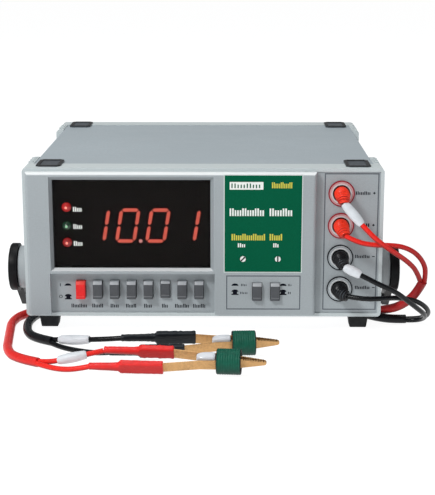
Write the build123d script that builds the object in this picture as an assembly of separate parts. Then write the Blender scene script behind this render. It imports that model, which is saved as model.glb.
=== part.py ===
from build123d import *
import os
from math import asin, cos, radians, sin, tan

# Bench resistance tester with a folding tilt bail and two pairs of clip leads.
# Millimetres. +Z is up, the front faces -Y, and the origin is on the bench under the middle of the case.
# "d" is always a depth behind the front frame's face, so a solid's Y is FRONT + d.

# ---- case ----
CASE_W = 253.0            # across the front and rear frames
CASE_DEPTH = 232.0        # front frame's face to rear frame's face
FRONT = -CASE_DEPTH / 2
FRAME_BOTTOM = 11.3
FRAME_TOP = 118.6
RIM = 2.5                 # visible rim round the front panel
SEAT = 4.5                # depth at which the panel rests on the frame's inner ledge
LIP = 18.0                # depth of the frames' top and bottom lips
CHEEK = 48.0              # depth of the frames' side cheeks
LEDGE_X = 118.0           # half width of the opening behind the panel
LEDGE_LOW, LEDGE_HIGH = 16.0, 114.0
COVER_X = 120.5           # half width of the sheet-metal covers
COVER_LOW, COVER_HIGH = 11.9, 118.1
COVER_SPLIT = 64.0        # height where the top cover meets the bottom cover
SHEET = 1.6
FOOT_X, FOOT_D = 111.6, 16.0
PAD_X, PAD_D = 108.8, 17.5
CORNER_R = 3.0            # round of the frames' long edges
RIDGE_X = 123.3           # low ridges across each cheek's top
RIDGE_DEPTHS = (24, 32, 40)

# ---- front panel ----
PANEL_X = CASE_W / 2 - RIM
PANEL_LOW, PANEL_HIGH = FRAME_BOTTOM + RIM, FRAME_TOP - RIM
PANEL_FACE = 1.0          # depth of the terminal panel's face
BLOCK_FACE = -5.5         # the instrument block stands this far proud of the frame
BLOCK_RIGHT = 79.2
BLOCK_ROUND = 2.5
WINDOW = (-107.5, 7.7, 45.7, 113.3)      # outer edge of the bevelled window frame: left, right, low, high
THROAT = (-105.5, 5.2, 47.2, 110.4)      # inner edge of that bevel, where the pane begins
PANE_LAP = 1.0                           # how far the pane reaches behind the bevel's inner edge
WINDOW_FACE = -1.0
WELL = (-108.2, 8.2, 43.9)               # range button recess: left, right, high
LABEL = (15.1, 68.9, 45.6, 114.5)
KEY_ZONE = (16.2, 68.8, 17.9, 43.0)      # engraved outline round the function buttons
JACK_ZONE = (84.8, 123.0, 16.0, 115.0)   # engraved outline round the terminals
GROOVE_W, GROOVE_DEPTH = 0.7, 0.5

# ---- display ----
DIGIT_PITCH = 21.3
DIGIT_FIRST_X = -74.6
DIGIT_Z = 76.7
LED_X = -95.7
LED_Z = (91.0, 77.6, 65.7)
LED_R = 2.9

# ---- buttons ----
BUTTON_Z = 31.3
BUTTON_W, BUTTON_H = 6.6, 12.6
BUTTON_FIRST_X = -87.0
BUTTON_PITCH = 12.0
BUTTON_FACE = -5.2
BUTTON_TRAVEL = 3.5
LATCHED_RANGE = 5         # this range button is latched in
FUNCTION_X = (38.1, 50.8)
FUNCTION_FACE = -9.0
STEM = 4.0                # square stem behind each cap
BANK_FACE, BANK_BACK = 10.5, 42.0

# ---- trimmers ----
TRIMMER_X = (28.0, 52.5)
TRIMMER_Z = 54.9
TRIMMER_R = 2.0

# ---- rear ----
INLET_X = (-98.0, -70.0)
INLET_Z = (28.0, 48.0)
FUSE_X, FUSE_Z = -48.0, 38.0
FUSE_CAP = 9.0            # how far the fuse cap stands out behind the case

# ---- terminals ----
JACK_X = 96.8
JACK_LOW_Z = 31.6
JACK_PITCH = 23.0
JACK_FLANGE_R = 9.2
JACK_FACE = -0.6
JACK_BARREL_R = 5.9
CONTACT_R = 2.6
PIN_R = 2.0
PLUG_R = 5.8
PLUG_NOSE = -9.5          # depth of the step in front of the plug's round body
ELBOW_D = -12.5           # depth of the plug's elbow in front of the panel
BOOT_R = 4.7

# ---- tilt bail ----
PIVOT_D, PIVOT_Z = 30.0, 40.0
BOSS_R = 15.5
HUB_R = 17.4
BOSS_X = 134.6
BAIL_X = (135.0, 140.1)
HUB_X = (140.3, 141.6)
PIVOT_PIN_R = 3.0
PIVOT_CLEARANCE = 0.06
BAIL_REACH = 49.2         # pivot to the crossbar's axis
BAIL_REST_DEG = 47.0      # the folded bail leans this far back from straight down
BAR_R = 4.0

# ---- leads ----
WIRE_D = 3.6
SHEATH_D = 6.4
TAG_R = 3.1
WIRE_Z = WIRE_D / 2
SHEATH_Z = SHEATH_D / 2

# ---- Kelvin clips: local x runs to the tip, y is the opening direction, z is the strip's width ----
BAND_R = 9.0
BAND_HALF = 8.4
STRIP_T = 0.8
STRIP_W = 7.4
ARM_LINE = ((-72, 7.6), (-42, 6.9), (-19, 3.8), (-8, 3.5), (8.4, 1.3), (24.2, 0.5))
CLIP_PIVOT_X = -14.4
CLIPS = {"red": ((18.4, -94.5, BAND_R), -4.5, 26.5), "black": ((28.2, -55.0, BAND_R), 3.5, 20.0)}


os.makedirs("parts", exist_ok=True)


def box(x0, x1, d0, d1, z0, z1):
    """A block between two X values, two depths and two heights."""
    middle = Pos((x0 + x1) / 2, FRONT + (d0 + d1) / 2, (z0 + z1) / 2)
    return middle * Box(x1 - x0, d1 - d0, z1 - z0)


def rod(x, z, r, d0, d1):
    """A cylinder along Y between two depths."""
    return Pos(x, FRONT + (d0 + d1) / 2, z) * Rot(90, 0, 0) * Cylinder(r, d1 - d0)


def axle(d, z, r, x0, x1):
    """A cylinder along X between two X values."""
    return Pos((x0 + x1) / 2, FRONT + d, z) * Rot(0, 90, 0) * Cylinder(r, abs(x1 - x0))


def post(x, d, r, z0, z1):
    """A cylinder along Z between two heights."""
    return Pos(x, FRONT + d, (z0 + z1) / 2) * Cylinder(r, z1 - z0)


def groove(zone, face):
    """A rectangular engraved line just inside a zone of a front face."""
    x0, x1, z0, z1 = zone
    outer = box(x0, x1, face, face + GROOVE_DEPTH, z0, z1)
    inset = GROOVE_W
    inner = box(x0 + inset, x1 - inset, face, face + GROOVE_DEPTH, z0 + inset, z1 - inset)
    return outer - inner


def save(name, *solids):
    """Write one named piece, or a group of identical ones."""
    shape = solids[0] if len(solids) == 1 else Compound(children=list(solids))
    export_step(shape, f"parts/{name}.step")


def both_sides(maker):
    """The same piece at the left and the right of the case."""
    return [maker(-1), maker(1)]


def four_corners(maker, x, front_d):
    """The same piece near the case's four corners."""
    depths = (front_d, CASE_DEPTH - front_d)
    return [maker(side * x, d) for side in (-1, 1) for d in depths]


# ---------------------------------------------------------------- case shells
def end_frame(face, direction):
    """Moulded end frame. direction is 1 where the case lies behind the face, -1 at the rear."""
    def span(a, b):
        ends = (face + direction * a, face + direction * b)
        return min(ends), max(ends)

    body = box(-CASE_W / 2, CASE_W / 2, *span(0, CHEEK), FRAME_BOTTOM, FRAME_TOP)
    body = fillet(body.edges().filter_by(Axis.Y), CORNER_R)
    body -= box(-COVER_X, COVER_X, *span(LIP, CHEEK), FRAME_BOTTOM - 1, FRAME_TOP + 1)
    body -= box(-PANEL_X, PANEL_X, *span(0, SEAT), PANEL_LOW, PANEL_HIGH)
    body -= box(-LEDGE_X, LEDGE_X, *span(SEAT, LIP), LEDGE_LOW, LEDGE_HIGH)
    for side in (-1, 1):
        body -= post(side * FOOT_X, face + direction * FOOT_D, 1.5, FRAME_BOTTOM - 1, LEDGE_LOW + 1)
        inner, outer = sorted((side * (RIDGE_X - 1.7), side * (RIDGE_X + 1.7)))
        for d in RIDGE_DEPTHS:
            body += box(inner, outer, *span(d - 1.5, d + 1.5), FRAME_TOP - 0.2, FRAME_TOP + 0.6)
    return body


def cover(low, high, plate_low, plate_high):
    """Folded sheet cover: a plate with two side flanges."""
    shell = box(-COVER_X, COVER_X, LIP, CASE_DEPTH - LIP, plate_low, plate_high)
    for side in (-1, 1):
        inner, outer = sorted((side * (COVER_X - SHEET), side * COVER_X))
        shell += box(inner, outer, LIP, CASE_DEPTH - LIP, low, high)
    return shell


def foot(x, d):
    """Tapered rubber foot with a screw hole and a counterbore."""
    top = Pos(x, FRONT + d, FRAME_BOTTOM) * Rectangle(15.0, 14.0)
    bottom = Pos(x, FRONT + d, 0) * Rectangle(12.0, 11.0)
    body = loft([bottom, top])
    return body - post(x, d, 3.2, 0, 5.5) - post(x, d, 1.5, 5.5, FRAME_BOTTOM)


def foot_screw(x, d):
    return post(x, d, 3.0, 3.2, 5.5) + post(x, d, 1.5, 5.5, 15.0)


def stacking_pad(x, d):
    """Shallow pad on the top, with a raised rim."""
    pad = box(x - 8.7, x + 8.7, d - 13.5, d + 13.5, FRAME_TOP - 0.5, FRAME_TOP + 1.0)
    pad = chamfer(pad.edges().filter_by(Axis.Z), 2.5)
    return pad - box(x - 6.2, x + 6.2, d - 10.5, d + 10.5, FRAME_TOP + 0.3, FRAME_TOP + 1.0)


front_frame = end_frame(0, 1)
rear_frame = end_frame(CASE_DEPTH, -1)
top_cover = cover(COVER_SPLIT, COVER_HIGH, COVER_HIGH - SHEET, COVER_HIGH)
bottom_cover = cover(COVER_LOW, COVER_SPLIT, COVER_LOW, COVER_LOW + SHEET)
pads = four_corners(stacking_pad, PAD_X, PAD_D)
for pad_solid in pads:
    front_frame -= pad_solid
    rear_frame -= pad_solid


# ---------------------------------------------------------------- front panel
def button_hole(x, d0, d1):
    gap = 0.3
    w, h = BUTTON_W / 2 + gap, BUTTON_H / 2 + gap
    return box(x - w, x + w, d0, d1, BUTTON_Z - h, BUTTON_Z + h)


def button_xs():
    """The power button, then the seven range buttons."""
    return [BUTTON_FIRST_X + BUTTON_PITCH * i for i in range(8)]


def jack_zs():
    return [JACK_LOW_Z + JACK_PITCH * i for i in range(4)]


def upright_rectangle(edges, d):
    """A rectangle that faces the front, given as left, right, low and high."""
    x0, x1, z0, z1 = edges
    place = Pos((x0 + x1) / 2, FRONT + d, (z0 + z1) / 2) * Rot(90, 0, 0)
    return place * Rectangle(x1 - x0, z1 - z0)


def pane_space(back):
    """Where the window's pane sits behind the bevel, down to the given depth."""
    x0, x1, z0, z1 = THROAT
    return box(x0 - PANE_LAP, x1 + PANE_LAP, WINDOW_FACE, back, z0 - PANE_LAP, z1 + PANE_LAP)


def make_front_panel():
    block = box(-PANEL_X, BLOCK_RIGHT, BLOCK_FACE, PANEL_FACE, PANEL_LOW, PANEL_HIGH)
    front_uprights = block.edges().filter_by(Axis.Z).group_by(Axis.Y)[0]
    front_top = block.edges().filter_by(Axis.X).group_by(Axis.Y)[0].sort_by(Axis.Z)[-1:]
    block = fillet(front_uprights + front_top, BLOCK_ROUND)
    panel = block + box(-PANEL_X, PANEL_X, PANEL_FACE, SEAT, PANEL_LOW, PANEL_HIGH)
    panel -= box(WELL[0], WELL[1], BLOCK_FACE, PANEL_FACE, PANEL_LOW, WELL[2])

    panel -= loft([upright_rectangle(WINDOW, BLOCK_FACE), upright_rectangle(THROAT, WINDOW_FACE)])
    panel -= pane_space(SEAT)

    panel -= box(12, 77, BLOCK_FACE + 2.5, SEAT, 17, 112)
    panel -= box(*LABEL[:2], BLOCK_FACE, BLOCK_FACE + 0.8, *LABEL[2:])
    panel -= groove(KEY_ZONE, BLOCK_FACE)
    panel -= groove(JACK_ZONE, PANEL_FACE)
    for x in button_xs():
        panel -= button_hole(x, PANEL_FACE, SEAT)
    for x in FUNCTION_X:
        panel -= button_hole(x, BLOCK_FACE, SEAT)
    for x in TRIMMER_X:
        panel -= rod(x, TRIMMER_Z, TRIMMER_R + 0.3, BLOCK_FACE, SEAT)
    for z in jack_zs():
        panel -= rod(JACK_X, z, JACK_BARREL_R, PANEL_FACE, SEAT)
    return panel


def make_window():
    pane = pane_space(WINDOW_FACE + 2.5)
    for z in LED_Z:
        pane -= rod(LED_X, z, LED_R, WINDOW_FACE, WINDOW_FACE + 2.5)
    return pane


def make_label():
    plate = box(*LABEL[:2], BLOCK_FACE - 0.2, BLOCK_FACE + 0.8, *LABEL[2:])
    for x in TRIMMER_X:
        plate -= rod(x, TRIMMER_Z, TRIMMER_R + 0.3, BLOCK_FACE - 0.2, BLOCK_FACE + 0.8)
    return plate


def indicator(z):
    """Lamp with a round lens that stands proud of the window, and its spacer."""
    lens = rod(LED_X, z, LED_R, WINDOW_FACE - 0.8, 6.0)
    dome = Pos(LED_X, FRONT + WINDOW_FACE - 0.8, z) * Sphere(LED_R)
    spacer = rod(LED_X, z, 2.2, 6.0, 14.0)
    return lens + dome + spacer


def digit_module(i):
    x = DIGIT_FIRST_X + DIGIT_PITCH * i
    return box(x - 10.4, x + 10.4, 4.0, 14.0, DIGIT_Z - 17, DIGIT_Z + 17)


save("front_frame", front_frame)
save("rear_frame", rear_frame)
save("top_cover", top_cover)
save("bottom_cover", bottom_cover)
save("rubber_feet", *four_corners(foot, FOOT_X, FOOT_D))
save("foot_screws", *four_corners(foot_screw, FOOT_X, FOOT_D))
save("stacking_pads", *pads)
save("front_panel", make_front_panel())
save("display_window", make_window())
save("label_plate", make_label())
save("digit_modules", *[digit_module(i) for i in range(4)])
save("indicator_lamps", *[indicator(z) for z in LED_Z])


# ---------------------------------------------------------------- buttons, trimmers and their switches
def push_button(x, face):
    """Cap with a bevelled face on a square stem. A latched one is made with a deeper face."""
    cap = box(x - BUTTON_W / 2, x + BUTTON_W / 2, face, face + 11.0,
              BUTTON_Z - BUTTON_H / 2, BUTTON_Z + BUTTON_H / 2)
    front_edges = cap.faces().sort_by(Axis.Y)[0].edges()
    cap = chamfer(front_edges, 0.9)
    return cap + box(x - STEM / 2, x + STEM / 2, face + 11.0, 31.0, BUTTON_Z - STEM / 2, BUTTON_Z + STEM / 2)


def switch_bank(x0, x1, xs):
    """Row of push switches in one housing, with a square bore for each stem."""
    bank = box(x0, x1, BANK_FACE, BANK_BACK, 25.0, 39.6)
    bore = STEM / 2 + 0.15
    for x in xs:
        bank -= box(x - bore, x + bore, BANK_FACE, BANK_BACK - 3, BUTTON_Z - bore, BUTTON_Z + bore)
    return bank


def trimmer_screw(x, slot_deg):
    """Slotted adjusting screw with a thin shaft into its potentiometer."""
    head = rod(x, TRIMMER_Z, TRIMMER_R, BLOCK_FACE - 0.4, 6.0)
    slot = Rot(0, slot_deg, 0) * Box(0.7, 1.6, 2 * TRIMMER_R)
    head -= Pos(x, FRONT + BLOCK_FACE - 0.4, TRIMMER_Z) * slot
    return head + rod(x, TRIMMER_Z, 1.2, 6.0, 11.0)


def trimmer_pot(x):
    body = box(x - 4.8, x + 4.8, 7.0, 14.0, TRIMMER_Z - 4.8, TRIMMER_Z + 4.8)
    return body - rod(x, TRIMMER_Z, 1.25, 7.0, 12.0)


all_xs = button_xs()
save("power_button", push_button(all_xs[0], BUTTON_FACE))
for number, x in enumerate(all_xs[1:], 1):
    pressed = BUTTON_TRAVEL if number == LATCHED_RANGE else 0.0
    save(f"range_button_{number}", push_button(x, BUTTON_FACE + pressed))
for name, x in zip(("mode_button", "buzzer_button"), FUNCTION_X):
    save(name, push_button(x, FUNCTION_FACE))
save("switch_banks", switch_bank(-94.0, 4.0, all_xs), switch_bank(31.5, 57.5, FUNCTION_X))
save("low_limit_trimmer", trimmer_screw(TRIMMER_X[0], 45))
save("high_limit_trimmer", trimmer_screw(TRIMMER_X[1], 0))
save("trimmer_pots", *[trimmer_pot(x) for x in TRIMMER_X])
display_board = box(-104, 6, 14.0, 15.6, 47, 112)
trimmer_board = box(20, 60, 14.0, 15.6, 46, 64)
switch_board = box(-96, 59, BANK_FACE, 50.0, 23.4, 25.0)
save("panel_boards", display_board, trimmer_board, switch_board)


# ---------------------------------------------------------------- inside and rear
def board_post(x, d):
    return post(x, d, 3.0, COVER_LOW + SHEET, 20.0)


def transformer():
    core = box(46, 106, 146, 186, 20, 64)
    winding = box(56, 96, 134, 198, 28, 56)
    return core + winding + box(42, 110, 148, 184, COVER_LOW + SHEET, 20)


def make_rear_panel():
    """Flat rear plate with cut-outs for the mains inlet and the fuse holder."""
    plate = box(-PANEL_X, PANEL_X, CASE_DEPTH - SEAT, CASE_DEPTH - 1.0, PANEL_LOW, PANEL_HIGH)
    plate -= box(*INLET_X, CASE_DEPTH - SEAT, CASE_DEPTH, *INLET_Z)
    return plate - rod(FUSE_X, FUSE_Z, 6.0, CASE_DEPTH - SEAT, CASE_DEPTH)


def make_inlet():
    """Three-pin mains inlet with its recess open to the rear."""
    rear = CASE_DEPTH - 1.0
    body = box(*INLET_X, rear - 22, rear, *INLET_Z)
    flange = box(INLET_X[0] - 10, INLET_X[1] + 10, rear, rear + 2.5, INLET_Z[0] - 1.5, INLET_Z[1] + 1.5)
    cavity = box(INLET_X[0] + 1.8, INLET_X[1] - 1.8, rear - 15, rear + 2.5, INLET_Z[0] + 1.8, INLET_Z[1] - 1.8)
    inlet = body + flange - cavity
    mid_x, mid_z = sum(INLET_X) / 2, sum(INLET_Z) / 2
    for dx, dz in ((-7, -1), (7, -1), (0, 3)):
        x, z = mid_x + dx, mid_z + dz
        inlet += box(x - 1, x + 1, rear - 15, rear - 1, z - 2, z + 2)
    return inlet


save("main_board", box(-106, 36, 60, 200, 20.0, 21.6))
save("board_posts", *[board_post(x, d) for x in (-100, 30) for d in (66, 194)])
save("transformer", transformer())
save("rear_panel", make_rear_panel())
save("mains_inlet", make_inlet())
fuse_cap = rod(FUSE_X, FUSE_Z, 7.5, CASE_DEPTH - 1.0, CASE_DEPTH + FUSE_CAP)
save("fuse_holder", fuse_cap + rod(FUSE_X, FUSE_Z, 6.0, CASE_DEPTH - 26, CASE_DEPTH - 1.0))


# ---------------------------------------------------------------- tilt bail
def link(x0, x1, start, start_r, end, end_r):
    """Flat link between two round ends, tangent to both. Ends are (d, z)."""
    dd, dz = end[0] - start[0], end[1] - start[1]
    length = (dd * dd + dz * dz) ** 0.5
    lean = asin((start_r - end_r) / length)
    points = []
    for centre, r, side in ((start, start_r, 1), (end, end_r, 1), (end, end_r, -1), (start, start_r, -1)):
        along, across = sin(lean), side * cos(lean)
        d = centre[0] + r * (along * dd / length - across * dz / length)
        z = centre[1] + r * (along * dz / length + across * dd / length)
        points.append((FRONT + d, z))
    web = extrude(Plane.YZ.offset(x0) * make_face(Polyline(*points, close=True)), x1 - x0)
    return web + axle(*start, start_r, x0, x1) + axle(*end, end_r, x0, x1)


def make_bail():
    """U-shaped tilt bail: two arms with round heads, and a crossbar under the case."""
    rest = radians(BAIL_REST_DEG)
    bar = (PIVOT_D + BAIL_REACH * sin(rest), PIVOT_Z - BAIL_REACH * cos(rest))
    pivot = (PIVOT_D, PIVOT_Z)
    bail = axle(*bar, BAR_R, -BAIL_X[1], BAIL_X[1])
    for x0, x1 in (BAIL_X, (-BAIL_X[1], -BAIL_X[0])):
        bail += link(x0, x1, pivot, 8.5, bar, BAR_R + 1.0)
        bail += axle(*pivot, HUB_R, x0, x1)
        bail -= axle(*pivot, PIVOT_PIN_R + PIVOT_CLEARANCE, x0, x1)
    return bail


def pivot_boss(side):
    """Round grey boss on the frame's cheek that carries the pivot pin."""
    boss = axle(PIVOT_D, PIVOT_Z, BOSS_R, side * CASE_W / 2, side * BOSS_X)
    return boss - axle(PIVOT_D, PIVOT_Z, PIVOT_PIN_R, side * CASE_W / 2, side * BOSS_X)


def pivot_hub(side):
    """Cap and pin in one: the pin passes through the bail into the boss."""
    cap = axle(PIVOT_D, PIVOT_Z, HUB_R - 0.4, side * HUB_X[0], side * HUB_X[1])
    return cap + axle(PIVOT_D, PIVOT_Z, PIVOT_PIN_R, side * CASE_W / 2, side * HUB_X[0])


save("tilt_bail", make_bail())
save("pivot_bosses", *both_sides(pivot_boss))
save("pivot_hubs", *both_sides(pivot_hub))


# ---------------------------------------------------------------- terminals and plugs
def jack(z):
    body = rod(JACK_X, z, JACK_FLANGE_R, JACK_FACE, PANEL_FACE) + rod(JACK_X, z, JACK_BARREL_R, PANEL_FACE, 22)
    return body - rod(JACK_X, z, CONTACT_R, JACK_FACE, 22)


def jack_contact(z):
    return rod(JACK_X, z, CONTACT_R, 1.0, 27.0) - rod(JACK_X, z, PIN_R, 1.0, 17.0)


def plug(z, end):
    """Right-angled banana plug: pin, round body, elbow and a tapered boot that ends at (x, d, z)."""
    elbow = Vector(JACK_X, FRONT + ELBOW_D, z)
    reach = Vector(end[0], FRONT + end[1], end[2]) - elbow
    body = rod(JACK_X, z, PIN_R, -1.0, 16.0) + rod(JACK_X, z, PLUG_R, PLUG_NOSE, JACK_FACE)
    body += rod(JACK_X, z, BOOT_R, ELBOW_D, PLUG_NOSE) + Pos(elbow) * Sphere(BOOT_R)
    boot = Plane(origin=elbow, z_dir=reach) * Pos(0, 0, reach.length / 2)
    return body + boot * Cone(BOOT_R - 0.3, TAG_R, reach.length)


# Where each plug's boot ends, as (x, d, z), from the lowest terminal up.
BOOT_ENDS = ((101.2, -16.5, 30.8), (98.3, -16.5, 52.0), (98.3, -17.5, 74.5), (97.2, -15.8, 96.8))
plugs = [plug(z, end) for z, end in zip(jack_zs(), BOOT_ENDS)]
save("jacks", *[jack(z) for z in jack_zs()])
save("jack_contacts", *[jack_contact(z) for z in jack_zs()])
save("banana_plugs", *plugs)


# ---------------------------------------------------------------- cords
def cord(name, diameter, route):
    """Round tube along straight runs joined by tangent arcs as large as the runs allow."""
    points = [Vector(*point) for point in route]
    radii = []
    for before, here, after in zip(points, points[1:], points[2:]):
        turn = radians((here - before).get_angle(after - here))
        radii.append(0.45 * min((here - before).length, (after - here).length) / tan(turn / 2))
    path = FilletPolyline(*points, radius=radii)
    section = Plane(origin=path @ 0, z_dir=path % 0) * Circle(diameter / 2)
    tube = sweep(section, path=path)
    expected = section.area * path.length
    print(f"{name}: {path.length:.0f} mm long, least radius {min(radii):.1f} mm, "
          f"volume {tube.volume / expected:.3f} of section x length")
    save(name, tube)


def world(route):
    """A route given as (x, d, z) turned into the model's X, Y, Z."""
    return [(x, FRONT + d, z) for x, d, z in route]


# Each route is a list of (x, d, z). The jack wires start at a tag or a boot and end in their lead's sheath.
# The sheath runs under the case between the front feet and the folded bail, and the clip wires leave it.
ROUTES = {
    "red_force_wire": (WIRE_D, [
        (109.3, -20.5, 83.1), (116, -23, 76), (124.3, -22.5, 69), (133.3, -17.5, 62.2),
        (142.6, -10, 54.8), (150.6, -3.5, 46.2), (154.3, 3.4, 36.8)]),
    "red_sense_wire": (WIRE_D, [
        (98.3, -17.5, 74.5), (106.3, -19.8, 70.6), (116.6, -18.6, 68.3), (127.8, -15.3, 67.4),
        (139.6, -11, 65.4), (149.5, -6, 59.5), (156.2, -1.8, 50.5), (157.8, 1.4, 41.8),
        (157.2, 4.2, 34.4)]),
    "red_sheath": (SHEATH_D, [
        (156.2, 3, 36.5), (153, 6.5, 28), (147.5, 11, 20), (141, 18, 13.5), (134.5, 27, 9),
        (127, 36, 5.4), (117.5, 44, SHEATH_Z), (103, 49.1, SHEATH_Z), (82, 47.1, SHEATH_Z),
        (50, 49, SHEATH_Z), (14, 47.1, SHEATH_Z), (-26, 49, SHEATH_Z), (-60, 47.4, SHEATH_Z),
        (-82, 48.8, SHEATH_Z), (-101, 48, SHEATH_Z), (-119.8, 45.2, SHEATH_Z),
        (-135.5, 29.3, SHEATH_Z), (-139.3, 10.5, SHEATH_Z), (-137, -10, SHEATH_Z),
        (-134.5, -32, SHEATH_Z), (-132, -53, SHEATH_Z), (-123.5, -71, SHEATH_Z),
        (-107, -80, SHEATH_Z)]),
    "red_rear_clip_wire": (WIRE_D, [
        (-108.3, -78.2, 3.4), (-99.5, -82.6, 4.2), (-90, -83.8, 6.6), (-79.5, -83.9, 8.8),
        (-70, -82.6, 10.8), (-63.6, -81.7, 11.9)]),
    "red_front_clip_wire": (WIRE_D, [
        (-107.8, -81.4, 3.0), (-99, -86.5, 2.0), (-89, -90.8, 2.0), (-79.5, -93.4, 3.4),
        (-71.4, -94.3, 5.4)]),
    "black_sense_wire": (WIRE_D, [
        (109.5, -20.8, 47.3), (116.4, -23.3, 44.2), (123.3, -24.4, 41), (130, -22.6, 37.6), (136.8, -19.4, 33.2),
        (143, -15, 27.4), (149.8, -9.5, 21.3), (156, -2.5, 15.2), (159.6, 6.5, 9.6),
        (158.4, 15.6, 4.8), (152.2, 20.2, 2.6), (146, 20.2, 2.8)]),
    "black_force_wire": (WIRE_D, [
        (101.2, -16.5, 30.8), (108.6, -19.8, 30.3), (117.2, -21, 30.2), (126, -18.6, 30), (134.8, -13.2, 29),
        (143.5, -6.5, 26.6), (153, -1.5, 22.8), (160.6, 5.5, 16), (163.2, 15.3, 8.5),
        (159, 23.4, 3.4), (151.2, 25, 2.4), (145, 23.2, 2.8)]),
    "black_sheath": (SHEATH_D, [
        (147.5, 21.8, SHEATH_Z), (138.5, 21.4, SHEATH_Z), (129.2, 25, SHEATH_Z), (119.5, 33.5, SHEATH_Z),
        (106, 41, SHEATH_Z), (86, 39.6, SHEATH_Z), (52, 41.4, SHEATH_Z), (14, 39.6, SHEATH_Z),
        (-24, 41.3, SHEATH_Z), (-56, 39.8, SHEATH_Z), (-76, 41, SHEATH_Z), (-92, 39.4, SHEATH_Z),
        (-111, 40.5, SHEATH_Z), (-122.5, 34, SHEATH_Z), (-126.5, 19, SHEATH_Z), (-127, 4, SHEATH_Z),
        (-124, -14, SHEATH_Z), (-116.5, -27, SHEATH_Z), (-104, -34.5, SHEATH_Z)]),
    "black_rear_clip_wire": (WIRE_D, [
        (-105.2, -32, 3.5), (-97, -38.9, 6), (-87, -43.4, 7), (-76, -46.6, 8.4),
        (-64.5, -50.6, 10), (-53.7, -52.8, 11.4)]),
    "black_front_clip_wire": (WIRE_D, [
        (-105, -35.6, 2.6), (-98, -42, WIRE_Z), (-88.6, -48.6, WIRE_Z), (-78, -54.5, 2.1),
        (-68.5, -62.8, 4.0), (-60.7, -67.5, 6.1)]),
}
for name, (diameter, route) in ROUTES.items():
    cord(name, diameter, world(route))


# ---------------------------------------------------------------- marker tags on the wires
def tag(start, end):
    """Marker sleeve between two places given as (x, d, z)."""
    a, b = [Vector(*spot) for spot in world([start, end])]
    return Plane(origin=a, z_dir=b - a) * Pos(0, 0, (b - a).length / 2) * Cylinder(TAG_R, (b - a).length)


save("wire_tags",
     tag(BOOT_ENDS[3], (109.3, -20.5, 83.1)) - plugs[3],
     tag(BOOT_ENDS[1], (109.5, -20.8, 47.3)) - plugs[1],
     tag((-92.5, -83.5, 5.9), (-73.5, -83.1, 10.1)),
     tag((-97, -38.9, 6), (-76.5, -46.3, 8.4)))


# ---------------------------------------------------------------- Kelvin clips
def strip(side):
    """One leg of a clip: a bent strip that narrows to a rounded tip. side is 1 for the sprung leg."""
    upper = [(x, side * y + STRIP_T / 2) for x, y in ARM_LINE]
    lower = [(x, side * y - STRIP_T / 2) for x, y in reversed(ARM_LINE)]
    leg = extrude(make_face(Polyline(*upper, *lower, close=True)), STRIP_W / 2, both=True)
    tip_x, tip_h, shoulder = ARM_LINE[-1][0], 2.6, BAND_HALF
    half = STRIP_W / 2
    outline = Polyline((-80, -half), (shoulder, -half), (tip_x - 1.5, -tip_h / 2), (tip_x, 0),
                       (tip_x - 1.5, tip_h / 2), (shoulder, half), (-80, half), close=True)
    profile = extrude(Plane.XZ * make_face(outline), 20, both=True)
    return leg & profile


def sleeve(x0, x1, side, thin_x):
    """Heat-shrink sleeve over the end of a leg, with a thinner sleeve over the wire behind it."""
    thick = Pos((x0 + x1) / 2, side * 7.2, 0) * Box(x1 - x0, 4.6, 8.8)
    thick = fillet(thick.edges().filter_by(Axis.X), 1.8)
    thin = Pos((thin_x + x0) / 2, side * 7.6, 0) * Rot(0, 90, 0) * Cylinder(2.3, x0 - thin_x)
    return thick + thin


def band():
    """Elastic band round both legs, with room for the sprung leg to open."""
    ring = Rot(0, 90, 0) * Cylinder(BAND_R, 2 * BAND_HALF)
    slot = Pos(0, 0.95, 0) * Box(2 * BAND_HALF, 9.9, STRIP_W + 0.6)
    return ring - slot


def pad():
    """Insulating fulcrum round the sprung leg."""
    body = Pos(CLIP_PIVOT_X - 0.1, 1.6, 0) * Box(11.6, 7.2, STRIP_W + 1.6)
    return fillet(body.edges().filter_by(Axis.X), 2.4) - strip(1)


def placed(colour, shape):
    """Turn a clip piece from its own frame into place on the bench."""
    (x, d, z), yaw, roll = CLIPS[colour]
    return Pos(x, FRONT + d, z) * Rot(0, 0, yaw) * Rot(roll, 0, 0) * shape


SLEEVE_ENDS = {"red": (-42, -36.3), "black": (-40, -32)}    # on the fixed and the sprung leg
save("clip_fixed_arms", *[placed(colour, strip(-1)) for colour in CLIPS])
save("clip_bands", *[placed(colour, band()) for colour in CLIPS])
for colour in CLIPS:
    fixed_end, moving_end = SLEEVE_ENDS[colour]
    fixed_sleeve = sleeve(-70, fixed_end, -1, -89.5) - strip(-1)
    moving_sleeve = sleeve(-58.6, moving_end, 1, -81) - strip(1)
    save(f"{colour}_clip_fixed_sleeve", placed(colour, fixed_sleeve))
    save(f"{colour}_clip_moving_arm", placed(colour, strip(1)))
    save(f"{colour}_clip_moving_sleeve", placed(colour, moving_sleeve))
    save(f"{colour}_clip_pad", placed(colour, pad()))
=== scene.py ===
"""Looks of the bench resistance tester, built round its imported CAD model.

Lengths are millimetres unless a comment says otherwise. at() and the clips' own frames turn them into metres.
d is a depth behind the front frame's face.
"""

import math
import random

import bmesh
import bpy
from mathutils import Matrix, Vector


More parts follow.
